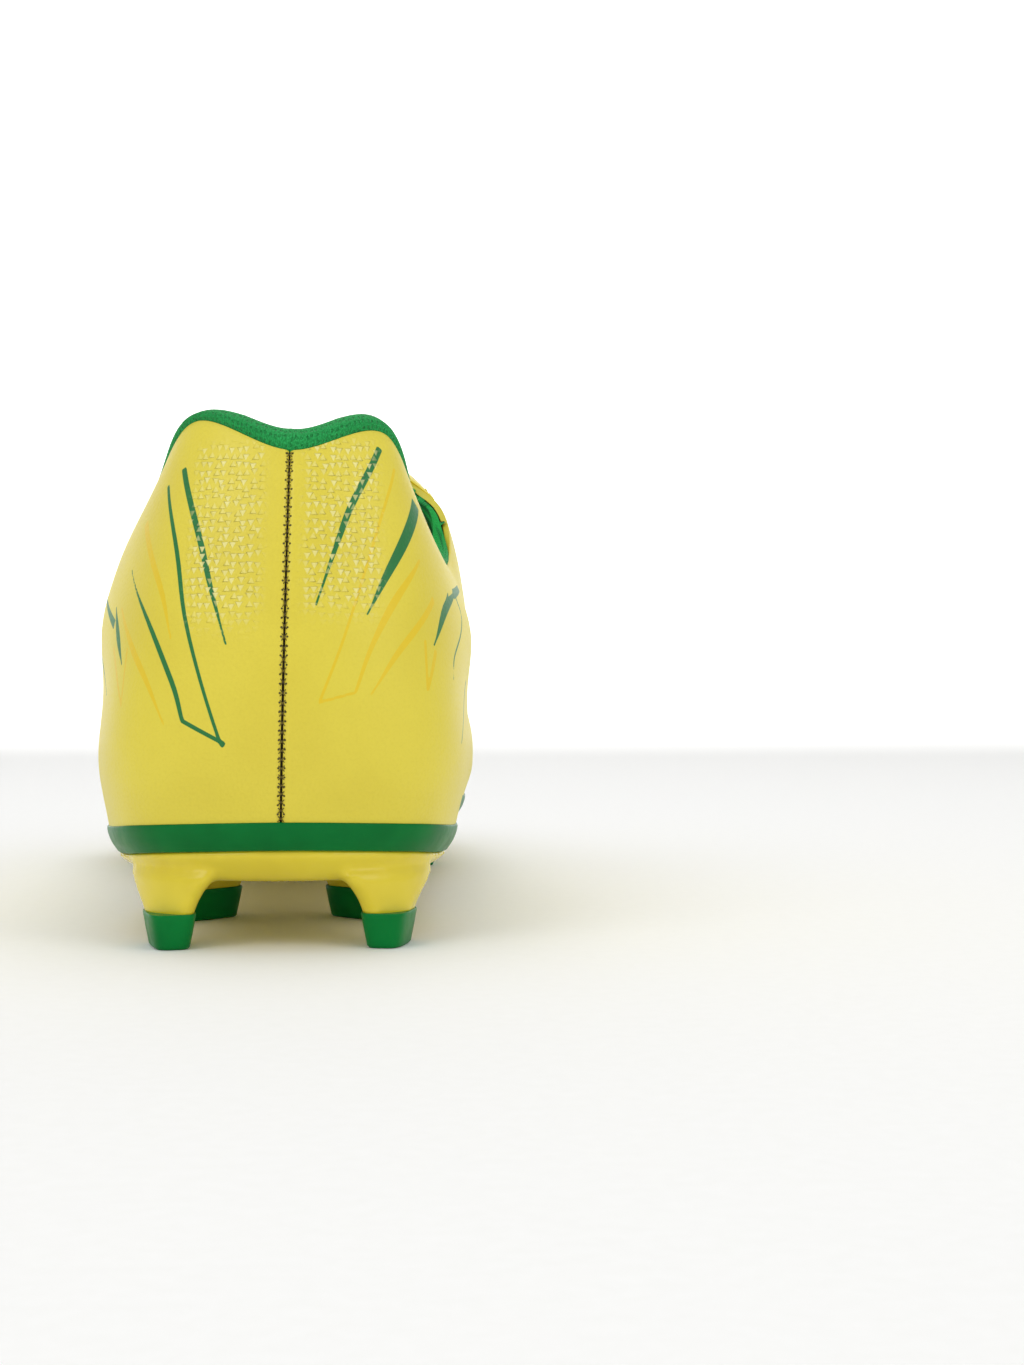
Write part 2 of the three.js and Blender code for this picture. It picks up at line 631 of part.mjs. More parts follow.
// The bar's steps between its two eyelets, from side to the other. It sinks onto the tongue in the middle.
function laceBar(i, side) {
  const [start, end] = [eyeletPlace(i, side), eyeletPlace(i, -side)];
  const [from, to] = [facet(start.u, start.v, side, 0).x, facet(end.u, end.v, -side, 0).x];
  const middle = facet(start.u, 1, 1, 0).x;
  const { along } = eyeletFrame(start);
  return [0.1, 0.2, 0.3, 0.4, 0.5, 0.6, 0.7, 0.8, 0.9].map((share) => {
    const x = mix(from, to, share);
    const half = x > middle ? 1 : -1;
    const v = rowAtHalfWidth(start.u, half, Math.max(Math.abs(x - middle), 0.01));
    const sag = overTop * ramp(0.3, 0.02, Math.abs(share - 0.5));
    return { place: facet(start.u, v, half, overTop - sag), width: along, size: [laceWidth, laceThickness] };
  });
}

// The middle of a run inside the boot, from one eyelet to the next of its side.
function hiddenRun(from, to) {
  return [0.38, 0.62].map((share) => ({
    place: facet(mix(from.u, to.u, share), mix(from.v, to.v, share), from.side, -laceRun),
    width: eyeletFrame(from).inward,
    size: [laceWidth * 0.9, laceThickness],
  }));
}

function laceSteps() {
  const steps = [];
  for (let i = 0; i < eyeletPairs; i++) {
    const side = i % 2 ? 1 : -1;
    steps.push(...throughEyelet(eyeletPlace(i, side), i ? -1 : 1).reverse());
    steps.push(...laceBar(i, side));
    steps.push(...throughEyelet(eyeletPlace(i, -side), i < eyeletPairs - 1 ? 1 : -1));
    if (i < eyeletPairs - 1) steps.push(...hiddenRun(eyeletPlace(i, -side), eyeletPlace(i + 1, -side)));
  }
  return steps;
}

// A flat ribbon through the steps, with its width and thickness square to its path.
function ribbon(steps) {
  const loops = steps.map(({ place, width, size }, i) => {
    const before = steps[Math.max(i - 1, 0)].place;
    const after = steps[Math.min(i + 1, steps.length - 1)].place;
    const ahead = after.clone().sub(before).normalize();
    const across = width.clone().addScaledVector(ahead, -width.dot(ahead)).normalize();
    if (steps.turn && across.dot(steps.turn) < 0) across.negate();
    steps.turn = across;
    const thick = ahead.clone().cross(across).normalize();
    const corner = (a, b) => place.clone()
      .addScaledVector(across, (a * size[0]) / 2).addScaledVector(thick, (b * size[1]) / 2);
    return [corner(1, 1), corner(-1, 1), corner(-1, -1), corner(1, -1)];
  });
  return stackLoops(loops);
}

// A flattened tip on each end of the lace, tucked inside beside the throat, a little deeper than the lace.
const agletDrop = 0.15;
function aglet(i, heading) {
  const { centre, up, along, inward } = eyeletFrame(eyeletPlace(i, -1));
  const steps = [2.1, 2.6, 5.2, 5.7].map((distance, k) => ({
    place: centre.clone().addScaledVector(up, -laceRun - agletDrop).addScaledVector(along, distance * heading),
    width: inward,
    size: k % 3 ? [2.8, 1.1] : [2.2, 0.7],
  }));
  return ribbon(steps);
}

// ---------------------------------------------------------------- sole unit
const edgeSteps = 30;
function soleLoop(inset, height) {
  const loop = [];
  const add = (u, side) => {
    const edge = sole(u, side, 0, 0);
    loop.push(sole(u, side, inset, height(u, edge.y)));
  };
  for (let i = 0; i <= edgeSteps; i++) add(i / edgeSteps, 1);
  for (let i = edgeSteps - 1; i > 0; i--) add(i / edgeSteps, -1);
  return loop;
}

const featherHeight = (u) => surface(u, 0, 1).z;
const bandFoot = (u) => featherHeight(u) - layerGap - bandHeight;
const bandTuck = 1.9; // the band leans in by this much at its foot
const plateEdge = bandThickness + 1.8;

function soleBand() {
  return stackLoops(
    [
      soleLoop(-0.3, (u) => featherHeight(u) - layerGap),
      soleLoop(bandThickness, (u) => featherHeight(u) - layerGap),
      soleLoop(bandThickness + 0.6, bandFoot),
      soleLoop(bandTuck, bandFoot),
      soleLoop(0.3, (u) => bandFoot(u) + bandHeight * 0.45),
    ],
    true,
  );
}

// A stud's outline at one height: a rounded bar of a length and width, turned about its own middle.
function studLoop({ x, y, length, width, turn }, spread, z, shift = 0) {
  const loop = [];
  const corners = 16;
  for (let i = 0; i < corners; i++) {
    const angle = (i / corners) * 2 * Math.PI;
    const [c, s] = [Math.cos(angle), Math.sin(angle)];
    const round = Math.pow(Math.pow(Math.abs(c), 4) + Math.pow(Math.abs(s), 4), -0.25);
    const [along, across] = [(length / 2 + spread) * s * round, (width / 2 + spread) * c * round];
    const heading = THREE.MathUtils.degToRad(turn);
    const [cos, sin] = [Math.cos(heading), Math.sin(heading)];
    loop.push(new THREE.Vector3(
      x + shift + across * cos - along * sin,
      y + across * sin + along * cos,
      z,
    ));
  }
  return loop;
}

const studs = [
  { name: "heel_rear", x: 19.4, y: 16.5, length: 14, width: 8, turn: -14 },
  { name: "heel_front", x: 16, y: 59, length: 17, width: 7.5, turn: 46 },
  { name: "fore_rear", x: 24, y: 150, length: 17, width: 7.5, turn: 34 },
  { name: "fore_ball", x: 33, y: 181, length: 17, width: 7.5, turn: 12 },
  { name: "fore_toe", x: 31, y: 214, length: 16, width: 7.5, turn: -14 },
  { name: "fore_tip", x: 17, y: 245, length: 14, width: 7.5, turn: -40 },
];

function placedStud(stud, side) {
  const y = stud.y * grade.along;
  return {
    ...stud,
    x: middleX(y, 0) + side * stud.x * grade.across,
    y,
    turn: -side * stud.turn * -1,
    side,
    lift: underside(y) - studLength,
  };
}

const tipFoot = (stud) => Math.max(0, stud.lift - 1.2);
const tipHead = (stud) => tipFoot(stud) + studTipLength;

function studTrunk(stud) {
  const root = underside(stud.y) + plateThickness * 0.5;
  const foot = tipHead(stud) + layerGap;
  const levels = [[0.2, foot], [0.7, foot + 1.8], [1.5, mix(foot, root, 0.55)], [3.6, root]];
  const trunk = stackLoops(levels.map(([spread, z]) => studLoop(stud, spread, z)));
  const outline = [0, 50].map((z) => soleLoop(bandTuck + 0.2, () => z));
  return toGeometry(toSolid(trunk).intersect(toSolid(stackLoops(outline))));
}

function studTip(stud) {
  const foot = tipFoot(stud);
  const levels = [[-1.5, foot], [-0.9, foot + 0.5], [-0.2, foot + 3], [0.15, tipHead(stud)]];
  return stackLoops(levels.map(([spread, z]) => studLoop(stud, spread, z)));
}

function outsole(allStuds) {
  const foot = (u) => bandFoot(u) - layerGap;
  const plate = stackLoops([
    soleLoop(9.5, (u, y) => underside(y)),
    soleLoop(6.4, (u, y) => underside(y) + 0.5),
    soleLoop(3.6, (u, y) => mix(underside(y), foot(u), 0.55)),
    soleLoop(bandTuck, foot),
    soleLoop(plateEdge, foot),
    soleLoop(plateEdge + 0.4, (u, y) => plateTop(y)),
  ]);
  return join(plate, ...allStuds.map(studTrunk));
}

function insoleBoard() {
  const inset = plateEdge + 0.6;
  return stackLoops([
    soleLoop(inset, (u, y) => plateTop(y) + layerGap),
    soleLoop(inset, (u, y) => plateTop(y) + layerGap + boardThickness),
  ]);
}

function sockLiner() {
  const floor = (u, y) => plateTop(y) + 2 * layerGap + boardThickness;
  const inset = plateEdge + 1.2;
  const cup = (u) => 3.5 * (1 - ramp(0.3, 0.5, u));
  return stackLoops([
    soleLoop(inset + 1, floor),
    soleLoop(inset, (u, y) => floor(u, y) + 1),
    soleLoop(inset, (u, y) => floor(u, y) + sockThickness + cup(u)),
    soleLoop(inset + 2.4, (u, y) => floor(u, y) + sockThickness + 0.6 * cup(u)),
    soleLoop(inset + 7, (u, y) => floor(u, y) + sockThickness),
  ]);
}

// ---------------------------------------------------------------- assembly
const palette = {
  yellow: { color: 0xe3d13c, roughness: 0.45 },
  solePlastic: { color: 0xe8d22c, roughness: 0.35 },
  green: { color: 0x0b8a3c, roughness: 0.35 },
  knit: { color: 0x12a152, roughness: 0.9 },
  board: { color: 0xd8d2c2, roughness: 0.9 },
  stiffener: { color: 0xc9c6ba, roughness: 0.8 },
  foam: { color: 0xe9e4d6, roughness: 0.95 },
  thread: { color: 0x6b5d16, roughness: 0.8 },
};

const boot = new THREE.Group();
function add(name, geometry, finish) {
  const material = new THREE.MeshStandardMaterial({ ...palette[finish], metalness: 0 });
  const mesh = new THREE.Mesh(geometry, material);
  mesh.name = name;
  boot.add(mesh);
}

const sides = { medial: 1, lateral: -1 };
const placedStuds = Object.entries(sides).flatMap(([word, side]) =>
  studs.map((stud) => ({ ...placedStud(stud, side), label: `stud_tip_${stud.name}_${word}` })));

add("outsole", outsole(placedStuds), "solePlastic");
placedStuds.forEach((stud) => add(stud.label, studTip(stud), "green"));
add("sole_band", soleBand(), "green");
add("insole_board", insoleBoard(), "board");
add("sock_liner", sockLiner(), "knit");
add("vamp", vamp(), "yellow");
for (const [word, side] of Object.entries(sides)) {
  add(`quarter_${word}`, quarter(side), "yellow");
  add(`eyestay_${word}`, eyestay(side), "yellow");
}
add("heel_counter", heelCounter(), "stiffener");
add("toe_puff", toePuff(), "stiffener");
add("collar_foam", collarPad(), "foam");
add("collar_lining", collarLining(), "knit");
add("vamp_lining", vampLining(), "knit");
add("lace", ribbon(laceSteps()), "knit");
add("aglet_lower", aglet(0, 1), "foam");
add("aglet_upper", aglet(eyeletPairs - 1, -1), "foam");
add("tongue_shell", tongueLayer(tongueTop, tongueSkin), "yellow");
add("tongue_foam", tongueLayer(tongueTop + tongueSkin + layerGap, tongueFoam), "foam");
add("tongue_lining", tongueLayer(tongueTop + tongueSkin + tongueFoam + 2 * layerGap, tongueSkin), "knit");

const box = new THREE.Box3().setFromObject(boot);
const middle = box.getCenter(new THREE.Vector3());
boot.position.set(-middle.x, -middle.y, -box.min.z);

export default boot;
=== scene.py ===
# A left football boot for firm ground: panels, knit collar, tongue, lace and studded sole.
# Sizes are millimetres from the back of the heel until a piece is laid into the part's own frame.
import math

import bmesh
import bpy
import numpy as np
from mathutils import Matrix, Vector


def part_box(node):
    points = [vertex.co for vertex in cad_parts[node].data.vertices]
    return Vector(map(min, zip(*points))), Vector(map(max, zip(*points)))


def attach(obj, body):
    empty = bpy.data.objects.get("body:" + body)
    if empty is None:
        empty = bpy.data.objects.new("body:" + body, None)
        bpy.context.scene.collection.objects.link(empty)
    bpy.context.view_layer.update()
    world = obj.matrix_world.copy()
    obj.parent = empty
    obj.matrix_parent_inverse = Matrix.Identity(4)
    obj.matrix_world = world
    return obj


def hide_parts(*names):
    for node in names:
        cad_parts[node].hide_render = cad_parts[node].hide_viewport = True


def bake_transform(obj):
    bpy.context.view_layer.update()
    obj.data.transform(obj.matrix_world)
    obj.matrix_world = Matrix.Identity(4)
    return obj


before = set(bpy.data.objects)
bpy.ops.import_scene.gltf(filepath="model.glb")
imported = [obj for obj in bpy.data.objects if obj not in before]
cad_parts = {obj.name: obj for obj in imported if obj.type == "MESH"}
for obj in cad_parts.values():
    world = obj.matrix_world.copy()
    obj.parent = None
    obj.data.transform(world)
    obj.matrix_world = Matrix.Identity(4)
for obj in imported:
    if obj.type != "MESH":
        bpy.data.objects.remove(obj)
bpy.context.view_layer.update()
print("frame loaded:", len(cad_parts), "CAD pieces")

# The last that the boot is built on, station by station from heel to toe: half width, distance, height.
last = {
    "groundToSole": 11.6,
    "lean": 0.022,
    "leanHeight": 46,
    "ridgeFrom": 5,
    "collarShift": {  # the two sides of the collar differ: what each row of a station adds in height
        1: {"medial": [0, 0, 0, 0, -0.3, -0.7, -1.2], "lateral": [0, 0, 0, 0, 0.2, 0.5, 0.8]},
        2: {"medial": [0, 0, -0.5, -1.9, -3.7, -5.7, -7.7], "lateral": [0] * 7},
    },
    "middleLine": [[0, 0], [60, -1.3], [110, -0.4], [160, -2.6], [205, -7.4], [245, -3.4], [280, 1.5]],
    "feather": [10.9, 10, 8.2, 7.6, 7.4, 7.2, 6.8, 6.6, 8.2, 10.4, 11.9],
    "stations": [
        [[0, 3.6, 0], [0, 1, 10], [0, 0, 21], [0, 0.8, 34], [0, 3, 47], [0, 5.6, 56.5], [0, 8.4, 64.5]],
        [[23.4, 12.4, 0], [25.8, 10.2, 10.5], [25.4, 9.8, 22], [23.4, 9.8, 35], [20.6, 11.2, 50],
         [19, 13.6, 60], [16.8, 16.4, 70.4]],
        [[32.1, 37, 0], [34.5, 38, 12], [33.9, 38, 25], [34.2, 38, 38], [31.6, 37.4, 48.5],
         [28.3, 36.4, 56.5], [24.6, 35, 63]],
        [[32.8, 70, 0], [34.4, 69, 11], [34.4, 68, 22], [35.2, 67, 32], [34.9, 66.5, 40],
         [33.4, 66, 46.5], [31.2, 65.5, 51]],
        [[33, 96, 0], [35, 95, 11], [36, 94, 25], [36, 93, 40], [34, 92, 52], [31.4, 91, 60.5], [28, 89, 67]],
        [[34, 118, 0], [36.2, 117, 11], [36.8, 115, 25], [35.4, 113, 42], [30.4, 111, 58],
         [19.5, 108, 73], [0, 105, 79.5]],
        [[41.5, 164, 0], [43.4, 163, 8.5], [42, 161, 20], [36, 159, 32], [27, 157.5, 41.5],
         [14.5, 156, 48], [0, 155, 50.5]],
        [[45.5, 203, 0], [47.2, 202, 7], [45.2, 201, 16], [38, 199, 25], [28, 197.5, 31],
         [14.5, 196.5, 34.8], [0, 196, 36]],
        [[36.5, 246, 0], [37.8, 246, 6], [35.4, 244.5, 13], [29.5, 242, 18.5], [21.5, 239.5, 22.3],
         [11, 237.5, 24.8], [0, 236.5, 25.6]],
        [[19.5, 270.5, 0], [20.2, 271.4, 5], [18.8, 269.5, 10.4], [15.4, 265.5, 14.6], [11, 261.5, 17.4],
         [5.6, 258.5, 19.3], [0, 257, 19.9]],
        [[0, 278.6, 0], [0, 280, 4.6], [0, 278, 9.4], [0, 273.6, 13], [0, 269.6, 15.2],
         [0, 266.6, 16.6], [0, 265, 17.2]],
    ],
}
lastStation = len(last["stations"]) - 1
lastRow = len(last["stations"][0]) - 1


def mix(a, b, t):
    return a + (b - a) * t


def smooth(t):
    return t * t * (3 - 2 * t)


def ramp(low, high, x):  # 0 to 1, eased
    return smooth(np.clip((x - low) / (high - low), 0, 1))


def middleX(y, z):
    knots = np.array(last["middleLine"], float)
    y = np.asarray(y, float)
    x = np.full(y.shape, knots[0, 1])
    for (y0, x0), (y1, x1) in zip(knots[:-1], knots[1:]):
        x = x + (x1 - x0) * smooth(np.clip((y - y0) / (y1 - y0), 0, 1))
    return x + last["lean"] * (z - last["leanHeight"])


def stationNet(half):  # every station and row on one half, with a mirrored margin past the ends and ridge
    net = []
    for k in range(-2, lastStation + 3):
        station, side = abs(k), (-1 if k < 0 else 1)
        if station > lastStation:
            station, side = 2 * lastStation - station, -side
        lift = last["groundToSole"] + last["feather"][station]
        shift = last["collarShift"].get(station, {}).get("medial" if side * half > 0 else "lateral", [0] * 7)
        rows = [np.array([side * x, y, lift + z + more])
                for (x, y, z), more in zip(last["stations"][station], shift)]
        below = 2 * rows[0] - rows[1]
        above = rows[-2] * np.array([-1, 1, 1]) if station >= last["ridgeFrom"] else 2 * rows[-1] - rows[-2]
        net.append([below] + rows + [above])
    return np.array(net)


lastNet = np.array([stationNet(-1), stationNet(1)])


def splineWeights(t):
    return np.stack([(-t + 2 * t**2 - t**3) / 2, (2 - 5 * t**2 + 3 * t**3) / 2,
                     (t + 4 * t**2 - 3 * t**3) / 2, (-t**2 + t**3) / 2], -1)


def surface(u, v, side):  # u from heel 0 to toe 1, v from sole 0 to top 1, side 1 is medial and -1 lateral
    u, v, side = np.broadcast_arrays(np.asarray(u, float), np.asarray(v, float), np.asarray(side, float))
    along = np.clip(u, -0.05, 1.05) * lastStation
    up = np.clip(v, 0, 1) * lastRow
    i = np.minimum(np.floor(along), np.where(u < 1, lastStation - 1, lastStation)).astype(int)
    j = np.minimum(np.floor(up), lastRow - 1).astype(int)
    alongWeights, upWeights = splineWeights(along - i), splineWeights(up - j)
    half = (side > 0).astype(int)
    point = np.zeros(u.shape + (3,))
    for p in range(4):
        for q in range(4):
            point += (alongWeights[..., p] * upWeights[..., q])[..., None] * lastNet[half, i + p + 1, j + q]
    z = point[..., 2]
    return np.stack([middleX(point[..., 1], z) + side * point[..., 0], point[..., 1], z], -1)


def unit(vectors):
    return vectors / np.maximum(np.linalg.norm(vectors, axis=-1, keepdims=True), 1e-12)


def outward(u, v, side):
    u, v, side = np.broadcast_arrays(np.asarray(u, float), np.asarray(v, float), np.asarray(side, float))
    step = 0.004
    along = surface(u + step, v, side) - surface(u - step, v, side)
    up = surface(u, np.minimum(v + step, 1), side) - surface(u, np.maximum(v - step, 0), side)
    return unit(np.cross(along, up) * side[..., None])


def skin(u, v, side, lift=0.0):  # lift is the height above the upper's outer surface
    return surface(u, v, side) + outward(u, v, side) * np.asarray(lift, float)[..., None]


def edgeOfSole(u, side, inset, z):  # the line where upper meets sole, moved in by inset, at height z
    edge = surface(u, 0, side)
    along = surface(u + 0.004, 0, side) - surface(u - 0.004, 0, side)
    out = unit(np.stack([along[..., 1], -along[..., 0], 0 * along[..., 0]], -1))
    out = out * np.asarray(side, float)[..., None]
    edge = edge - out * np.asarray(inset, float)[..., None]
    edge[..., 2] = z
    return edge


def alongTable(side, steps=500, rows=60):  # length of the path from the heel seam at constant v
    u, v = np.meshgrid(np.linspace(0, 1, steps + 1), np.linspace(0, 1, rows + 1), indexing="ij")
    path = np.linalg.norm(np.diff(surface(u, v, side), axis=0), axis=-1)
    return np.vstack([np.zeros((1, rows + 1)), np.cumsum(path, 0)])


def acrossTable(side, steps=200, rows=120):  # length of the path down from the top line at constant u
    u, v = np.meshgrid(np.linspace(0, 1, steps + 1), np.linspace(0, 1, rows + 1), indexing="ij")
    path = np.linalg.norm(np.diff(surface(u, v, side), axis=1), axis=-1)
    return np.hstack([np.cumsum(path[:, ::-1], 1)[:, ::-1], np.zeros((steps + 1, 1))])


def readTable(table, u, v):
    s = np.clip(u, 0, 1) * (table.shape[0] - 1)
    t = np.clip(v, 0, 1) * (table.shape[1] - 1)
    i, j = np.minimum(s.astype(int), table.shape[0] - 2), np.minimum(t.astype(int), table.shape[1] - 2)
    low = mix(table[i, j], table[i, j + 1], t - j)
    return mix(low, mix(table[i + 1, j], table[i + 1, j + 1], t - j), s - i)


girth = {side: alongTable(side) for side in (1, -1)}
drop = {side: acrossTable(side) for side in (1, -1)}

# The throat: a slot with a round foot, cut straight down, and the seam where quarters meet vamp.
throat = {
    "halfWidth": 13,
    "taper": [0.84, 1.08],
    "end": 0.615,
    "back": 0.36,
    "vampSeam": [[0, 24, 44, 60, 66, 75, 120], [140, 146, 151, 155, 157, 159, 170]],
    "seamGap": 0.4,
}
throatFoot = float(surface(throat["end"], 1, 1)[1])
throatRadius = throat["halfWidth"] * throat["taper"][0]
throatTurn = throatFoot - throatRadius
throatBack = float(surface(throat["back"], 1, 1)[1])
throatX = float(middleX(throatFoot - 25, 75))


def throatHalf(share):
    return throat["halfWidth"] * mix(*throat["taper"], share)


def throatClearance(point, extra=0.0):  # above 0 outside the slot
    x, y = point[..., 0] - throatX, point[..., 1]
    straight = np.abs(x) - mix(throatHalf(0), throatHalf(1.2), (throatTurn - y) / (throatTurn - throatBack))
    beside = np.where(y > throatTurn, np.hypot(x, y - throatTurn) - throatRadius, straight) - extra
    return np.where(y < throatBack, 50, beside)


def bisect(test, low, high, steps=34):  # the place between low and high where test stops being true
    low, high = low.copy(), high.copy()
    for _ in range(steps):
        middle = (low + high) / 2
        good = test(middle)
        low, high = np.where(good, middle, low), np.where(good, high, middle)
    return low


def rowBeside(u, side, extra=0.0):  # v at a distance outside the slot, or 1 where the top line comes first
    u = np.asarray(u, float)
    clear = lambda v: throatClearance(surface(u, v, side), extra) > 0
    return bisect(clear, np.full(u.shape, 0.3), np.ones(u.shape))


def rowAtHalfWidth(u, side, half):
    u, side, half = np.broadcast_arrays(np.asarray(u, float), np.asarray(side, float), np.asarray(half, float))

    def wide(v):
        point = surface(u, v, side)
        return np.abs(point[..., 0] - middleX(point[..., 1], point[..., 2])) > half

    return bisect(wide, np.full(u.shape, 0.5), np.ones(u.shape))


def seamClearance(point):  # how far a place is behind the seam between quarter and vamp
    return np.interp(point[..., 2], *throat["vampSeam"]) - point[..., 1]


studBoxes = [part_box("stud_tip_heel_rear_" + side) for side in ("medial", "lateral")]
rearStud = sum((low + high for low, high in studBoxes), Vector()) * 250
shift = np.array([rearStud.x - float(middleX(16.5, 0)), rearStud.y - 16.5, 0.0])


def toFrame(points):
    return (points + shift) * 0.001


# Small tools for making pieces
def gridPiece(name, columns, rows, place, uv=None, marks=None, punched=(), closed=False):
    bm = bmesh.new()
    bmesh.ops.create_grid(bm, x_segments=columns, y_segments=rows, size=1)
    mesh = bpy.data.meshes.new(name)
    bm.to_mesh(mesh)
    bm.free()
    flat = np.empty(len(mesh.vertices) * 3)
    mesh.vertices.foreach_get("co", flat)
    flat = flat.reshape(-1, 3)
    a = np.round((flat[:, 0] + 1) / 2 * columns) / columns
    b = np.round((flat[:, 1] + 1) / 2 * rows) / rows
    points = place(a, b)
    outside = None if closed else place(a, b, 0.5) - points
    middles = []
    for centre, radius in punched:  # spread the net open round each eyelet
        away = points - centre
        distance = np.linalg.norm(away, axis=1)
        middles.append(int(distance.argmin()))
        near = distance < radius * 2
        pushed = radius + distance[near] / 2
        points[near] = centre + unit(away[near]) * pushed[:, None]
    mesh.vertices.foreach_set("co", toFrame(points).ravel())
    if uv is not None:
        corners = np.empty(len(mesh.loops), int)
        mesh.loops.foreach_get("vertex_index", corners)
        layer = mesh.uv_layers.new(name="patternMm")
        layer.data.foreach_set("uv", np.stack(uv(a, b), -1)[corners].ravel())
    for word, values in (marks(a, b) if marks else {}).items():
        mesh.attributes.new(word, "FLOAT", "POINT").data.foreach_set("value", values.astype(np.float32))
    bm = bmesh.new()
    bm.from_mesh(mesh)
    bm.verts.ensure_lookup_table()
    bmesh.ops.delete(bm, geom=[bm.verts[i] for i in middles], context="VERTS")
    bmesh.ops.remove_doubles(bm, verts=bm.verts, dist=0.00002)
    if closed:
        bmesh.ops.recalc_face_normals(bm, faces=bm.faces)
    bm.to_mesh(mesh)
    bm.free()
    if outside is not None:
        facing = np.empty(len(mesh.polygons) * 3)
        mesh.polygons.foreach_get("normal", facing)
        spot = np.empty(len(mesh.polygons) * 3)
        mesh.polygons.foreach_get("center", spot)
        facing, spot = facing.reshape(-1, 3), spot.reshape(-1, 3)
        probe = len(spot) // 3
        nearest = np.linalg.norm(toFrame(points) - spot[probe], axis=1).argmin()
        if facing[probe] @ outside[nearest] < 0:
            mesh.flip_normals()
    mesh.shade_smooth()
    piece = bpy.data.objects.new(name, mesh)
    bpy.context.scene.collection.objects.link(piece)
    return piece


def bakeModifiers(piece, crease=None):
    bpy.context.view_layer.update()
    made = piece.evaluated_get(bpy.context.evaluated_depsgraph_get())
    mesh = bpy.data.meshes.new_from_object(made, preserve_all_data_layers=True,
                                           depsgraph=bpy.context.evaluated_depsgraph_get())
    piece.modifiers.clear()
    piece.data = mesh
    if crease:
        mesh.set_sharp_from_angle(angle=math.radians(crease))
    return piece


def thicken(piece, thickness, crease=40):  # inwards, with its edges closed
    wall = piece.modifiers.new("wall", "SOLIDIFY")
    wall.thickness = thickness * 0.001
    wall.offset = -1
    return bakeModifiers(piece, crease)


def dress(piece, material, replaced=(), body="boot"):
    piece.data.materials.clear()
    piece.data.materials.append(material)
    if body:
        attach(piece, body)
    if replaced:
        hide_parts(*replaced)
    return piece


def threadPiece(name, paths, radius, sides=1):  # many short threads as one mesh
    curve = bpy.data.curves.new(name, "CURVE")
    curve.dimensions = "3D"
    curve.bevel_depth = radius * 0.001
    curve.bevel_resolution = sides
    curve.use_fill_caps = True
    for path in paths:
        spline = curve.splines.new("POLY")
        spline.points.add(len(path) - 1)
        spline.points.foreach_set("co", np.hstack([toFrame(np.array(path)), np.ones((len(path), 1))]).ravel())
    drawn = bpy.data.objects.new(name + "Line", curve)
    bpy.context.scene.collection.objects.link(drawn)
    mesh = bpy.data.meshes.new_from_object(drawn)
    mesh.name = name
    bpy.data.objects.remove(drawn)
    mesh.shade_smooth()
    piece = bpy.data.objects.new(name, mesh)
    bpy.context.scene.collection.objects.link(piece)
    return piece


def stitchRow(points, normals, pitch, share=0.72, rise=0.16, sink=0.2):  # evenly spaced stitches on a line
    steps = np.linalg.norm(np.diff(points, axis=0), axis=1)
    travel = np.concatenate([[0], np.cumsum(steps)])
    paths = []
    for start in np.arange(pitch * 0.3, travel[-1] - pitch * share, pitch):
        at = start + pitch * share * np.array([0, 0.15, 0.5, 0.85, 1])
        place = np.stack([np.interp(at, travel, points[:, k]) for k in range(3)], -1)
        up = unit(np.stack([np.interp(at, travel, normals[:, k]) for k in range(3)], -1))
        paths.append(place + up * np.array([-sink, rise * 0.6, rise, rise * 0.6, -sink])[:, None])
    return paths


# Finishes
def linear(hexColour):
    channels = [int(hexColour[i:i + 2], 16) / 255 for i in (1, 3, 5)]
    return [c / 12.92 if c <= 0.04045 else ((c + 0.055) / 1.055) ** 2.4 for c in channels] + [1.0]


def newMaterial(name, **sockets):
    material = bpy.data.materials.new(name)
    material.use_nodes = True
    shader = material.node_tree.nodes["Principled BSDF"]
    for socket, value in sockets.items():
        shader.inputs[socket.replace("_", " ")].default_value = value
    return material, material.node_tree, shader


def addNode(tree, kind, inputs=None, output=0, **settings):
    node = tree.nodes.new("ShaderNode" + kind)
    for word, value in settings.items():
        setattr(node, word, value)
    for word, value in (inputs or {}).items():
        if isinstance(value, bpy.types.NodeSocket):
            tree.links.new(value, node.inputs[word])
        else:
            node.inputs[word].default_value = value
    return node.outputs[output]


def colourMix(tree, factor, first, second):
    return addNode(tree, "Mix", {0: factor, 6: first, 7: second}, 2, data_type="RGBA")


def sumOf(tree, *terms):  # each term is (socket, weight)
    total = 0.0
    for socket, weight in terms:
        total = addNode(tree, "Math", {0: socket, 1: weight, 2: total}, operation="MULTIPLY_ADD")
    return total


def fade(tree, value, start, end, low=0.0, high=1.0):
    return addNode(tree, "MapRange", {"Value": value, "From Min": start, "From Max": end,
                                      "To Min": low, "To Max": high}, interpolation_type="SMOOTHSTEP")


def raiseSurface(tree, shader, heightMm, strength=1.0):  # heights are in millimetres
    normal = addNode(tree, "Bump", {"Height": heightMm, "Distance": 0.001, "Strength": strength})
    tree.links.new(normal, shader.inputs["Normal"])


upperFinish = {
    "yellow": "#e6d53e",
    "deepYellow": "#e1cf39",
    "amber": "#e8c90e",
    "green": "#067330",
    "grain": 0.75,  # mm between pebbles of the grain
    "facet": 1.45,  # mm between the raised triangles
    "facetSize": 0.37,
    "stitch": 1.6,
    # colour of the painted highlight on the embossed facets
    "film": "#f8f0a0",
}
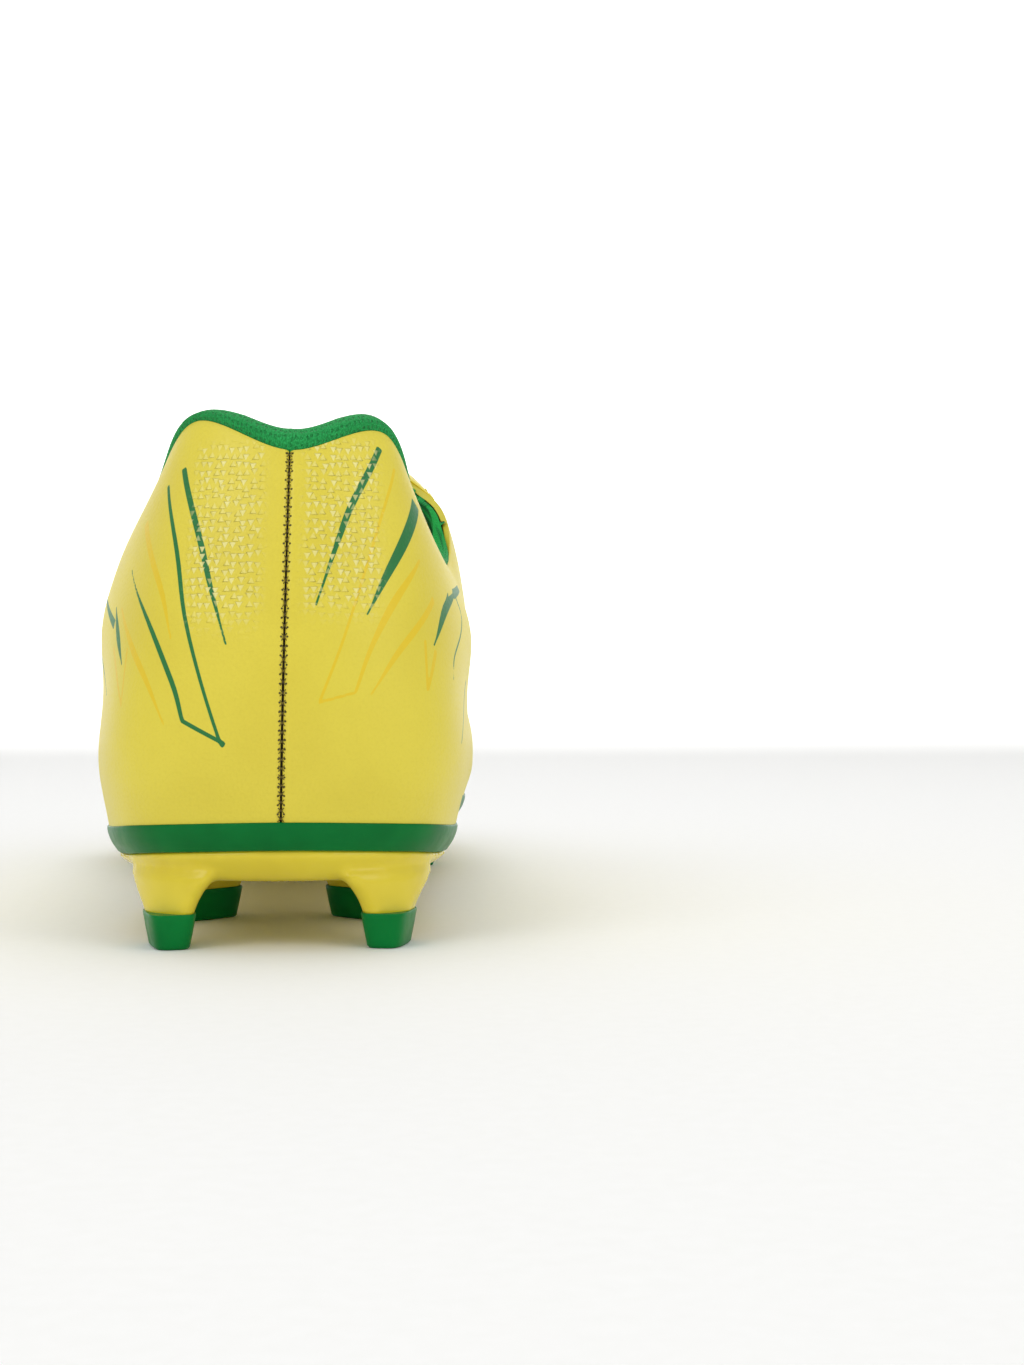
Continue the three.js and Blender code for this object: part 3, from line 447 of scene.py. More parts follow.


# Coated synthetic: a thin glossy polyurethane layer over microfibre, embossed and printed, so soft sheen with
# crisp glints; the glints on the facets are also painted in as a lighter colour.
def coatedSynthetic(name, holes=False):
    material, tree, shader = newMaterial(name, IOR=1.5, Coat_Weight=0.12, Coat_Roughness=0.35)
    finish = upperFinish
    place = addNode(tree, "UVMap", uv_map="patternMm")
    cells = {"Vector": place, "Scale": 1 / finish["facet"], "Randomness": 0.52}
    centre = addNode(tree, "TexVoronoi", cells, "Position", voronoi_dimensions="2D")
    flip = addNode(tree, "TexVoronoi", cells, "Color", voronoi_dimensions="2D")
    away = addNode(tree, "VectorMath", {0: place, 1: centre}, operation="SUBTRACT")
    across = addNode(tree, "SeparateXYZ", {0: away}, "X")
    upright = addNode(tree, "SeparateXYZ", {0: away}, "Y")
    chance = addNode(tree, "SeparateColor", {0: flip}, "Red")
    sign = addNode(tree, "Math", {0: addNode(tree, "Math", {0: chance, 1: 0.35}, operation="GREATER_THAN"),
                                  1: 2.0, 2: -1.0}, operation="MULTIPLY_ADD")
    tall = addNode(tree, "Math", {0: upright, 1: sign}, operation="MULTIPLY")
    wide = addNode(tree, "Math", {0: addNode(tree, "Math", {0: across}, operation="ABSOLUTE"), 1: 0.866,
                                  2: addNode(tree, "Math", {0: tall, 1: -0.5}, operation="MULTIPLY")},
                   operation="MULTIPLY_ADD")
    triangle = addNode(tree, "Math", {0: tall, 1: wide}, operation="MAXIMUM")
    raised = fade(tree, triangle, finish["facetSize"] + 0.1, finish["facetSize"] - 0.12)
    slope = sumOf(tree, (tall, 0.7), (across, 0.35))
    tilted = addNode(tree, "Math", {0: raised, 1: slope}, operation="MULTIPLY")
    emboss = addNode(tree, "Attribute", {}, "Fac", attribute_name="emboss")
    relief = sumOf(tree, (raised, 0.12), (tilted, 0.3))
    facets = addNode(tree, "Math", {0: relief, 1: emboss}, operation="MULTIPLY")
    grain = addNode(tree, "TexVoronoi", {"Vector": place, "Scale": 1 / finish["grain"], "Smoothness": 0.6},
                    "Distance", voronoi_dimensions="2D", feature="SMOOTH_F1")
    cloudy = addNode(tree, "TexNoise", {"Vector": place, "Scale": 0.04, "Detail": 2.0}, "Fac")
    fine = addNode(tree, "TexNoise", {"Vector": place, "Scale": 1.9, "Detail": 2.0}, "Fac")
    height = sumOf(tree, (grain, -0.035), (fine, 0.03), (facets, 1.0))
    green = fade(tree, addNode(tree, "Attribute", {}, "Fac", attribute_name="greenPrint"), 0.05, -0.05)
    amber = fade(tree, addNode(tree, "Attribute", {}, "Fac", attribute_name="amberPrint"), 0.06, -0.06)
    clouds = fade(tree, cloudy, 0.35, 0.65)
    body = colourMix(tree, clouds, linear(finish["yellow"]), linear(finish["deepYellow"]))
    body = colourMix(tree, fade(tree, fine, 0.45, 0.7, 0.0, 0.1), body, linear("#c9b428"))
    body = colourMix(tree, amber, body, linear(finish["amber"]))
    body = colourMix(tree, green, body, linear(finish["green"]))
    facetGlossAndHighlight = addNode(tree, "Math", {0: raised, 1: emboss}, operation="MULTIPLY")  # painted highlight: lighter colour on each embossed facet; the facets are also glossier
    # painted highlight: each facet is lightened towards the glint colour by a random amount, as if catching the
    # light
    glint = fade(tree, addNode(tree, "Math", {0: facetGlossAndHighlight, 1: fade(tree, chance, 0.2, 1.0, 0.4, 0.72)},
                               operation="MULTIPLY"), 0.0, 1.0)
    body = colourMix(tree, glint, body, linear(finish["film"]))
    if holes:  # needle holes beside the back seam: sunk by the bump, with painted shade inside
        beside = addNode(tree, "SeparateXYZ", {0: place}, "X")
        rise = addNode(tree, "SeparateXYZ", {0: place}, "Y")
        gap = addNode(tree, "Math", {0: beside, 1: -0.52}, operation="ADD")
        beat = addNode(tree, "Math", {0: addNode(tree, "Math", {0: rise, 1: finish["stitch"] / 2},
                                                 operation="PINGPONG")}, operation="ABSOLUTE")
        spot = addNode(tree, "CombineXYZ", {0: gap, 1: beat})
        reach = addNode(tree, "VectorMath", {0: spot}, "Value", operation="LENGTH")
        hole = fade(tree, reach, 0.24, 0.1)
        # painted shade: the inside of each needle hole is coloured dark
        body = colourMix(tree, hole, body, linear("#3a3206"))
        height = sumOf(tree, (hole, -0.15), (height, 1.0))
    gloss = sumOf(tree, (facetGlossAndHighlight, -0.16), (fine, 0.12), (grain, 0.1))
    rough = addNode(tree, "Math", {0: gloss, 1: 0.34}, operation="ADD")
    tree.links.new(body, shader.inputs["Base Color"])
    tree.links.new(rough, shader.inputs["Roughness"])
    raiseSurface(tree, shader, height)
    return material


# Injection-moulded TPU: dense colour, smooth mould polish with faint flow ripple, a wet-looking gloss.
def mouldedPlastic(name, colour, shade, roughness, ripple, shine=0.5):
    material, tree, shader = newMaterial(name, IOR=1.48, Specular_IOR_Level=shine)
    place = addNode(tree, "TexCoord", {}, "Object")
    flow = addNode(tree, "TexNoise", {"Vector": place, "Scale": 90.0, "Detail": 2.0}, "Fac")
    scuff = addNode(tree, "TexNoise", {"Vector": place, "Scale": 500.0, "Detail": 2.0}, "Fac")
    body = colourMix(tree, fade(tree, flow, 0.3, 0.7), linear(colour), linear(shade))
    tree.links.new(body, shader.inputs["Base Color"])
    tree.links.new(fade(tree, scuff, 0.3, 0.75, roughness - 0.03, roughness + 0.05), shader.inputs["Roughness"])
    raiseSurface(tree, shader, sumOf(tree, (flow, ripple * 10), (scuff, ripple * 0.3)))
    return material


# Polyester knit: looped yarn with small openings between the loops, painted dark as shade, and a dry, slightly
# fuzzy surface.
def knit(name, colour, shade, loop=0.95, depth=0.22, opening=0.75):
    material, tree, shader = newMaterial(name, IOR=1.45, Specular_IOR_Level=0.2,
                                         Sheen_Weight=0.08, Sheen_Roughness=0.4)
    place = addNode(tree, "UVMap", uv_map="patternMm")
    opening = addNode(tree, "TexVoronoi", {"Vector": place, "Scale": 1 / loop, "Randomness": 0.42}, "Distance",
                      voronoi_dimensions="2D")
    yarn = addNode(tree, "TexNoise", {"Vector": place, "Scale": 3.2 / loop, "Detail": 3.0}, "Fac")
    soft = addNode(tree, "TexNoise", {"Vector": place, "Scale": 0.11, "Detail": 2.0}, "Fac")
    lining = addNode(tree, "Attribute", {}, "Fac", attribute_name="smoothLining")  # brushed tricot further in
    plain = addNode(tree, "Math", {0: 1.0, 1: lining}, operation="SUBTRACT")
    hole = addNode(tree, "Math", {0: fade(tree, sumOf(tree, (opening, 1.0), (yarn, 0.25)), 0.42, 0.2),
                                  1: fade(tree, plain, 0.0, 1.0, 0.25, 1.0)}, operation="MULTIPLY")
    body = colourMix(tree, fade(tree, yarn, 0.3, 0.7), linear(shade), linear(colour))
    body = colourMix(tree, fade(tree, soft, 0.35, 0.7, 0.0, 0.3), body, linear(shade))
    body = colourMix(tree, lining, body, linear("#12a544"))
    # painted shade: the openings between the loops are coloured near black
    openingShade = colourMix(tree, 0.72, body, linear("#01260f"))
    covered = addNode(tree, "Math", {0: hole, 1: opening}, operation="MULTIPLY")
    tree.links.new(colourMix(tree, covered, body, openingShade), shader.inputs["Base Color"])
    tree.links.new(fade(tree, yarn, 0.2, 0.8, 0.62, 0.85), shader.inputs["Roughness"])
    raiseSurface(tree, shader, sumOf(tree, (hole, -depth), (yarn, depth * 0.8)))
    return material


# Flat braided lace: diagonal yarns that cross in a chevron, matt with a little nylon shine.
def braid(name, colour, shade, pitch=1.1):
    material, tree, shader = newMaterial(name, IOR=1.5, Sheen_Weight=0.2)
    place = addNode(tree, "UVMap", uv_map="patternMm")
    along = addNode(tree, "SeparateXYZ", {0: place}, "X")
    across = addNode(tree, "SeparateXYZ", {0: place}, "Y")
    folded = addNode(tree, "Math", {0: across, 1: 0.9}, operation="PINGPONG")
    turn = sumOf(tree, (along, 2 * math.pi / pitch), (folded, 2 * math.pi / pitch))
    wave = addNode(tree, "Math", {0: turn}, operation="SINE")
    yarn = addNode(tree, "TexNoise", {"Vector": place, "Scale": 4.0, "Detail": 2.0}, "Fac")
    body = colourMix(tree, fade(tree, wave, -0.9, 0.6), linear(shade), linear(colour))
    tree.links.new(body, shader.inputs["Base Color"])
    tree.links.new(fade(tree, yarn, 0.2, 0.8, 0.5, 0.72), shader.inputs["Roughness"])
    raiseSurface(tree, shader, sumOf(tree, (wave, 0.09), (yarn, 0.06)))
    return material


# Bonded polyester sewing thread: twisted plies with a waxy shine.
def thread(name, colour, shade):
    material, tree, shader = newMaterial(name, IOR=1.5)
    place = addNode(tree, "TexCoord", {}, "Object")
    ply = addNode(tree, "TexNoise", {"Vector": place, "Scale": 2600.0, "Detail": 2.0}, "Fac")
    tree.links.new(colourMix(tree, fade(tree, ply, 0.35, 0.65), linear(shade), linear(colour)),
                   shader.inputs["Base Color"])
    tree.links.new(fade(tree, ply, 0.2, 0.8, 0.4, 0.65), shader.inputs["Roughness"])
    raiseSurface(tree, shader, sumOf(tree, (ply, 0.05)))
    return material


# Pressed sheet such as fibre board, non-woven stiffener or open-cell foam: matt, with grit of its own size.
def pressedSheet(name, colour, shade, grit, depth):
    material, tree, shader = newMaterial(name, IOR=1.45)
    place = addNode(tree, "TexCoord", {}, "Object")
    fibre = addNode(tree, "TexNoise", {"Vector": place, "Scale": 1000 / grit, "Detail": 4.0}, "Fac")
    tree.links.new(colourMix(tree, fade(tree, fibre, 0.3, 0.7), linear(shade), linear(colour)),
                   shader.inputs["Base Color"])
    tree.links.new(fade(tree, fibre, 0.2, 0.8, 0.75, 0.95), shader.inputs["Roughness"])
    raiseSurface(tree, shader, sumOf(tree, (fibre, depth)))
    return material


quarterFinish = coatedSynthetic("coatedSyntheticQuarter", holes=True)
upperSheet = coatedSynthetic("coatedSynthetic")
bandPlastic = mouldedPlastic("mouldedBandGreen", "#027432", "#01682b", 0.34, 0.004, 0.12)
solePlastic = mouldedPlastic("mouldedPlateYellow", "#e8d334", "#e0ca2d", 0.22, 0.003, 0.5)
studPlastic = mouldedPlastic("mouldedStudGreen", "#027d36", "#016e2f", 0.34, 0.004, 0.12)
collarKnit = knit("collarKnitGreen", "#2fae5c", "#12803a")
liningKnit = knit("liningKnitGreen", "#25a650", "#12883c", 1.1, 0.12, 0.35)
sockKnit = knit("sockKnitGreen", "#1b8a44", "#0f6a32", 1.3, 0.15, 0.5)
laceBraid = braid("laceBraidGreen", "#23a556", "#0d6b32")
seamThread = thread("seamThreadOlive", "#7a6a1c", "#4a3f0c")
yellowThread = thread("topThreadYellow", "#ead94e", "#c9b52c")
# painted shade: the backing tape's dark olive also stands in for the shade in the back seam's groove
shadedSeamTape = pressedSheet("shadedSeamTapeOlive", "#3d360e", "#2a2508", 0.5, 0.1)
boardFibre = pressedSheet("pressedFibreBoard", "#d8d2c2", "#c2bba8", 1.2, 0.08)
stiffenerSheet = pressedSheet("nonWovenStiffener", "#c9c6ba", "#b3b0a3", 0.9, 0.06)
agletPlastic = mouldedPlastic("agletAcetateGreen", "#0d7a3c", "#0a6a33", 0.2, 0.004)
print("finishes mixed:", len(bpy.data.materials))


# Printed strokes: centre lines in girth from the heel seam and height, with a width at each point
thinnestStroke = 0.4


def alongProfile(points, t):  # a smooth line through the points
    points = np.array(points, float)
    padded = np.vstack([2 * points[0] - points[1], points, 2 * points[-1] - points[-2]])
    at = np.clip(t, 0, 1) * (len(points) - 1)
    i = np.minimum(at.astype(int), len(points) - 2)
    weights = splineWeights(at - i)
    return sum(weights[..., [k]] * padded[i + k] for k in range(4))


def strokeOutline(points, widths):
    knots = np.column_stack([points, widths])
    line = alongProfile(knots, np.linspace(0, 1, (len(points) - 1) * (5 if len(points) > 2 else 1) + 1))
    way = unit(np.gradient(line[:, :2], axis=0))
    beside = np.stack([-way[:, 1], way[:, 0]], -1) * np.maximum(line[:, 2:], thinnestStroke) / 2
    return np.vstack([line[:, :2] + beside, (line[:, :2] - beside)[::-1]])


def distanceTo(outline, x, y):  # signed: below 0 inside
    nearest = np.full(x.shape, 1e9)
    inside = np.zeros(x.shape, bool)
    for (x0, y0), (x1, y1) in zip(outline, np.roll(outline, -1, 0)):
        dx, dy = x1 - x0, y1 - y0
        t = np.clip(((x - x0) * dx + (y - y0) * dy) / (dx * dx + dy * dy + 1e-12), 0, 1)
        nearest = np.minimum(nearest, np.hypot(x - x0 - t * dx, y - y0 - t * dy))
        with np.errstate(divide="ignore", invalid="ignore"):
            crossing = ((y0 > y) != (y1 > y)) & (x < dx * (y - y0) / dy + x0)
        inside ^= crossing
    return np.where(inside, -nearest, nearest)


def printDistance(strokes, x, y):
    nearest = np.full(x.shape, 9.0)
    for points, widths in strokes:
        nearest = np.minimum(nearest, distanceTo(strokeOutline(points, widths), x, y))
    return nearest


quarterPrint = {
    -1: {
        "green": [
            ([(21, 84.2), (15.8, 71.3), (13.1, 62.7), (10, 53)], [1.3, 1.2, 0.9, 0.05]),
            ([(25.4, 81.4), (20.6, 69.2), (18, 58.1), (14.5, 47), (10.8, 36.9), (9.9, 35.7)],
             [0.9, 1, 0.8, 0.65, 0.6, 0.5]),
            ([(36.8, 66.7), (26.7, 57.4), (20.2, 47), (17.6, 39.8)], [0.1, 0.95, 1, 0.75]),
            ([(17.8, 40.1), (9.7, 36.1)], [0.75, 0.7]),
            ([(61, 63.8), (43, 57)], [0.3, 1.9]), ([(43.4, 60.4), (39.4, 55), (35.1, 49.5)], [0.2, 2.1, 0.05]),
            ([(48, 44), (70, 56), (92, 60)], [0.05, 1.6, 0.2]),
            ([(62, 33), (86, 49), (104, 66)], [0.05, 1.3, 1.1]),
            ([(70, 30.5), (98, 45), (116, 62)], [0.7, 0.8, 0.8]), ([(70, 30.5), (62, 33)], [0.7, 0.7]),
            ([(104, 30), (126, 44), (132, 55)], [0.05, 2.1, 0.1]),
            ([(118, 26), (139, 37)], [0.3, 1.6]), ([(135, 40), (150, 50)], [1.5, 0.3]),
            ([(139, 36.6), (134.6, 41)], [1, 1]),
        ],
        "amber": [
            ([(33.5, 75.2), (24.2, 63.5), (20.5, 53.8)], [1.9, 1.3, 0.05]),
            ([(39.3, 60.1), (31.2, 52.7), (26, 47.1), (21.3, 39.3)], [0.6, 1.5, 1.1, 0.05]),
            ([(42, 53), (33.8, 42.6)], [1.1, 0.6]), ([(33.9, 42.2), (33.2, 52.7)], [0.6, 0.7]),
            ([(54, 36), (78, 47), (96, 52)], [0.05, 1.5, 0.3]),
            ([(84, 30), (112, 41), (124, 50)], [0.05, 1.7, 0.3]),
            ([(110, 66), (126, 58)], [1.6, 0.1]),
        ],
        "emboss": [4, 18, 56, 90],
    },
    1: {
        "green": [
            ([(17.6, 88), (11.8, 78.3), (9, 71.3), (5.2, 59.7)], [1.35, 1.3, 1, 0.05]),
            ([(27.6, 78.6), (18.8, 66.2), (14.3, 58.1)], [3.4, 1.7, 0.05]),
            ([(71.8, 67.1), (43, 62.8)], [0.2, 1.9]),
            ([(43.4, 62.8), (35.4, 59.6), (29.4, 53)], [0.8, 2.3, 0.05]),
            ([(38.8, 62.9), (34, 58.8)], [0.1, 1.5]),
            ([(44.9, 62.4), (47.4, 59.1), (45, 55.5), (39.1, 51.1), (38.2, 46.9)], [0.6, 0.6, 0.6, 0.6, 0.3]),
            ([(54.3, 47), (42.7, 35.3)], [0.7, 0.3]),
            ([(58, 40), (82, 54), (100, 60)], [0.05, 1.5, 0.2]),
            ([(74, 31), (100, 47), (114, 64)], [0.05, 1.3, 1]),
            ([(82, 29), (110, 44), (125, 60)], [0.7, 0.8, 0.7]), ([(82, 29), (74, 31)], [0.7, 0.7]),
            ([(112, 28), (132, 42)], [0.3, 1.7]), ([(128, 45), (148, 52)], [1.6, 0.3]),
            ([(132, 41.6), (127.6, 45)], [1, 1]),
        ],
        "amber": [
            ([(20.9, 84.5), (17.7, 76.8), (13.8, 65.5), (9.8, 52.9), (6.3, 43.4)], [0.7, 0.6, 0.5, 0.5, 0.5]),
            ([(6.1, 43.2), (12.5, 44.9)], [0.5, 0.5]),
            ([(12.5, 44.9), (15.4, 53), (20, 61), (26.7, 68.3)], [0.5, 0.9, 1.5, 0.6]),
            ([(30.6, 61.4), (21.2, 52.6), (15.2, 44.3)], [1.3, 1.2, 0.05]),
            ([(26.8, 54.1), (27.2, 45.3)], [0.7, 0.6]), ([(27.2, 45.1), (30.1, 52.3)], [0.6, 1.1]),
            ([(60, 33), (86, 45), (104, 50)], [0.05, 1.5, 0.3]),
            ([(96, 30), (122, 38), (138, 46)], [0.05, 1.7, 0.3]),
        ],
        "emboss": [2.5, 17, 58, 91],
    },
}
vampPrint = {  # distance from the ridge, and from the heel
    "green": [
        ([(-6, 166), (-17, 186), (-24, 212)], [0.1, 2, 0.05]),
        ([(6, 166), (17, 186), (24, 212)], [0.1, 2, 0.05]),
        ([(-22, 166), (-34, 190), (-36, 222)], [1.1, 1.1, 0.1]),
        ([(24, 168), (38, 192), (40, 218)], [1.1, 1.1, 0.1]),
        ([(-44, 168), (-52, 196), (-49, 230)], [0.1, 2.3, 0.1]),
        ([(46, 164), (56, 192), (52, 226)], [0.1, 2.3, 0.1]),
    ],
    "amber": [
        ([(-13, 168), (-27, 194), (-31, 228)], [0.1, 2, 0.1]),
        ([(13, 170), (29, 196), (34, 226)], [0.1, 2, 0.1]),
        ([(-36, 166), (-44, 192), (-43, 214)], [0.1, 1.6, 0.1]), ([(0, 170), (0, 196)], [1.2, 0.05]),
    ],
}

# The upper's yellow panels
quarterPlan = {"columns": 300, "rows": 146, "heelDetail": 1.22, "thickness": 1.2,
               "edgeRoll": 0.6, "edgeReach": 1.0, "gap": 0.12}
eyelets = {"pairs": 6, "inset": 6, "radius": 2.0, "first": 0.589, "last": 0.499}


def eyeletPlaces(side):
    share = np.arange(eyelets["pairs"]) / (eyelets["pairs"] - 1)
    u = mix(eyelets["first"], eyelets["last"], share)
    return u, rowAtHalfWidth(u, side, throatHalf(share) + eyelets["inset"])


def quarterChart(side):
    fineU = np.linspace(0, 0.7, 701)
    topRow = rowBeside(fineU, side)
    rows = np.linspace(0, 1, quarterPlan["rows"] + 1)
    top = lambda u: np.interp(u, fineU, topRow)
    low = np.full(rows.shape, 0.45)
    fits = lambda u: seamClearance(surface(u, rows * top(u), side)) > quarterPlan["gap"]
    ends = bisect(fits, low, low + 0.25)
    start = throat["seamGap"] / 2 / (last["stations"][1][0][0] * lastStation)

    def chart(a, b):
        u = start + a ** quarterPlan["heelDetail"] * (np.interp(b, rows, ends) - start)
        return u, b * top(u)

    return chart


def edgeRoll(distance):
    return quarterPlan["edgeRoll"] * np.clip(1 - distance / quarterPlan["edgeReach"], 0, 1) ** 2


def makeQuarter(side, word):
    chart = quarterChart(side)
    prints = quarterPrint[side]

    def place(a, b, lift=0.0):
        u, v = chart(a, b)
        seam = edgeRoll(readTable(girth[side], u, v)) + 0.6 * edgeRoll(seamClearance(surface(u, v, side)))
        return skin(u, v, side, lift - seam - 0.25 * edgeRoll((1 - v) * 60) * (u < 0.44))

    def uv(a, b):
        u, v = chart(a, b)
        return readTable(girth[side], u, v), surface(u, v, side)[..., 2]

    def marks(a, b):
        g, z = uv(a, b)
        g0, g1, z0, z1 = prints["emboss"]
        heel = ramp(g0 - 1.5, g0 + 2, g) * (1 - ramp(g1 - 2, g1 + 2, g)) * ramp(z0 - 4, z0 + 6, z)
        heel *= 1 - ramp(z1 - 4, z1, z)
        waist = ramp(96, 112, g) * ramp(30, 42, z) * (1 - ramp(58, 66, z)) * 0.8
        return {"greenPrint": printDistance(prints["green"], g, z),
                "amberPrint": printDistance(prints["amber"], g, z), "emboss": np.maximum(heel, waist)}

    u, v = eyeletPlaces(side)
    holes = [(point, eyelets["radius"] + 0.2) for point in skin(u, v, side)]
    piece = gridPiece("quarter" + word, quarterPlan["columns"], quarterPlan["rows"], place, uv, marks, holes)
    thicken(piece, quarterPlan["thickness"])
    return dress(piece, quarterFinish, ["quarter_" + word.lower()])


vampPlan = {"columns": 190, "rows": 184, "thickness": 1.2}


def makeVamp():
    rows = np.linspace(0, 1, vampPlan["rows"] + 1)
    split = lambda b: (np.where(b < 0.5, -1.0, 1.0), 1 - np.abs(2 * b - 1))
    side, v = split(rows)

    def behind(u):
        point = surface(u, v, side)
        return (seamClearance(point) > -quarterPlan["gap"]) | (throatClearance(point) < 0)

    starts = bisect(behind, np.full(rows.shape, 0.45), np.full(rows.shape, 0.8))

    def chart(a, b):
        side, v = split(b)
        start = np.interp(b, rows, starts)
        return start + a * (1 - start), v, side

    def place(a, b, lift=0.0):
        u, v, side = chart(a, b)
        seam = np.where(throatClearance(surface(u, v, side)) > 2, -seamClearance(surface(u, v, side)), 9)
        return skin(u, v, side, lift - 0.6 * edgeRoll(np.maximum(seam, 0)))

    def uv(a, b):
        u, v, side = chart(a, b)
        dropped = np.where(side > 0, readTable(drop[1], u, v), readTable(drop[-1], u, v))
        return dropped * side, surface(u, v, side)[..., 1]

    def marks(a, b):
        x, y = uv(a, b)
        emboss = ramp(180, 196, y) * (1 - ramp(236, 252, y)) * (1 - ramp(42, 54, np.abs(x)))
        return {"greenPrint": printDistance(vampPrint["green"], x, y),
                "amberPrint": printDistance(vampPrint["amber"], x, y), "emboss": emboss * 0.85}

    piece = gridPiece("vampPanel", vampPlan["columns"], vampPlan["rows"], place, uv, marks)
    thicken(piece, vampPlan["thickness"])
    return dress(piece, upperSheet, ["vamp"])


eyestayPlan = {"columns": 150, "rows": 30, "width": 15, "overhang": 0.8, "thickness": 0.9, "lift": 0.95,
               "round": 0.8, "backMargin": 0.004, "seamMargin": 1}


def eyestayChart(side):
    plan = eyestayPlan
    rows = np.linspace(0, 1, plan["rows"] + 1)
    offset = mix(-plan["overhang"], plan["width"], rows)
    low = np.full(rows.shape, 0.3)
    clear = lambda u: throatClearance(surface(u, 1, side), offset) > 0
    backs = bisect(clear, low, low + 0.3) + plan["backMargin"]
    fits = lambda u: seamClearance(surface(u, rowBeside(u, side, offset), side)) > plan["seamMargin"]
    fronts = bisect(fits, low + 0.2, low + 0.4, 18)

    def chart(a, b):
        back, front = np.interp(b, rows, backs), np.interp(b, rows, fronts)
        u = mix(back, front, a)
        width = mix(-plan["overhang"], plan["width"], b)
        edge = np.minimum.reduce([width + plan["overhang"], plan["width"] - width, (u - back) * 250,
                                  (front - u) * 280])
        return u, rowBeside(u, side, width), edge

    return chart


def makeEyestay(side, word):
    plan = eyestayPlan
    chart = eyestayChart(side)

    def place(a, b, lift=0.0):
        u, v, edge = chart(a, b)
        sunk = 0.45 * np.clip(1 - edge / plan["round"], 0, 1) ** 2
        return skin(u, v, side, plan["lift"] + lift - sunk)

    def uv(a, b):
        u, v, _ = chart(a, b)
        return readTable(girth[side], u, v), surface(u, v, side)[..., 2]

    def marks(a, b):
        plain = np.full(a.shape, 9.0)
        return {"greenPrint": plain, "amberPrint": plain, "emboss": plain * 0}

    u, v = eyeletPlaces(side)
    holes = [(point, eyelets["radius"] + 0.2) for point in skin(u, v, side, plan["lift"])]
    piece = gridPiece("eyestay" + word, plan["columns"], plan["rows"], place, uv, marks, holes)
    thicken(piece, plan["thickness"])
    dress(piece, upperSheet, ["eyestay_" + word.lower()])
    paths = []
    for b in (0.12, 0.9, 0.95):
        a = np.linspace(0.02, 0.98, 160)
        u, v, _ = chart(a, np.full(a.shape, b))
        paths += stitchRow(skin(u, v, side, plan["lift"]), outward(u, v, side), 2.3)
    rows = threadPiece("eyestayStitching" + word, paths, 0.17)
    dress(rows, yellowThread)


for side, word in ((1, "Medial"), (-1, "Lateral")):
    makeQuarter(side, word)
    makeEyestay(side, word)
makeVamp()
print("yellow panels cut, printed and stitched")

# Back seam: tape behind the butted edges, its dark colour also painted shade for the seam's groove, and a zigzag
# of crossed stitches over them
seamPlan = {"pitch": 1.6, "top": 0.36, "bottom": 0.56, "wider": 0.66, "radius": 0.085, "tape": 2.2}


def seamPoint(v, across, lift):  # across is positive on the medial side, in millimetres from the seam
    side = np.where(across < 0, -1.0, 1.0)
    u = np.abs(across) / (last["stations"][1][0][0] * lastStation)
    roll = edgeRoll(np.abs(across))
    return skin(u, v, side, lift - roll)


def makeSeam():
    def place(a, b, lift=0.0):
        return seamPoint(b * 0.985, (a - 0.5) * seamPlan["tape"], lift - 0.75 + edgeRoll(np.abs(a - 0.5) * 2))

    # dark tape under the seam gap, painted shade for the groove as well as a backing tape
    tape = gridPiece("shadedSeamTape", 8, 120, place)
    thicken(tape, 0.4)
    dress(tape, shadedSeamTape)
    length = float(drop[1][0, 0])
    paths = []
    count = int(length / seamPlan["pitch"])
    for k in range(count):
        low = (k + 0.15) * seamPlan["pitch"] / length
        high = (k + 0.85) * seamPlan["pitch"] / length
        reach = seamPlan["wider"] if k >= count - 3 else mix(seamPlan["bottom"], seamPlan["top"], k / count)
        for way in (1, -1):
            t = np.array([-1, -0.8, -0.35, 0.35, 0.8, 1])
            lift = np.array([-0.25, 0.08, 0.16, 0.16, 0.08, -0.25]) + (0.06 if way > 0 else 0)
            paths.append(seamPoint(mix(low, high, (t + 1) / 2), way * reach * t, lift))
    dress(threadPiece("heelSeamStitching", paths, seamPlan["radius"]), seamThread)


makeSeam()

# Collar: knit laid over foam, rolled out over the top line and down the inside
collarPlan = {
    "columns": 330, "rows": 84, "end": 0.43, "wall": 1.0, "rollShare": 0.42,
    "rise": [[0, 0.05, 0.1, 0.17, 0.25, 0.31, 0.36, 0.43], [4.9, 4.1, 2.5, 2.5, 2.2, 1.4, 0.3, 0.1]],
    "profile": [  # depth: fixed and share of the padding; height: fixed and share of the rise
        [1.9, 0, -2.4, 0], [1.5, 0, -0.5, 0], [0.15, 0, 0.2, 0.0], [-0.55, 0, 0.1, 0.42], [0.35, 0.04, 0, 0.87],
        [0, 0.42, 0, 1.02], [0, 0.82, 0, 0.74], [0, 0.99, 0, 0.12], [0, 1.02, -1.6, 0],
    ],
}


def fillDepth(u, v):
    swell = 2.8 * ramp(0.55, 0.86, v) * (1 - ramp(0.26, 0.39, u))
    base = 0.6 * ramp(0.5, 0.6, v) * (1 - ramp(0.37, 0.43, u))
    counter = (1 - ramp(0.26, 0.36, u)) * (1 - ramp(0.5, 0.7, v))
    return np.maximum.reduce([swell + base, counter, 0.8 * ramp(0.77, 0.87, u)])


def insideFace(u, v):
    fill = fillDepth(u, v)
    return 2.4 + fill + 0.3 * ramp(0, 0.1, fill)


def collarSide(a):
    signed = 2 * a - 1
    return np.abs(signed) * collarPlan["end"], np.where(signed < 0, -1.0, 1.0)


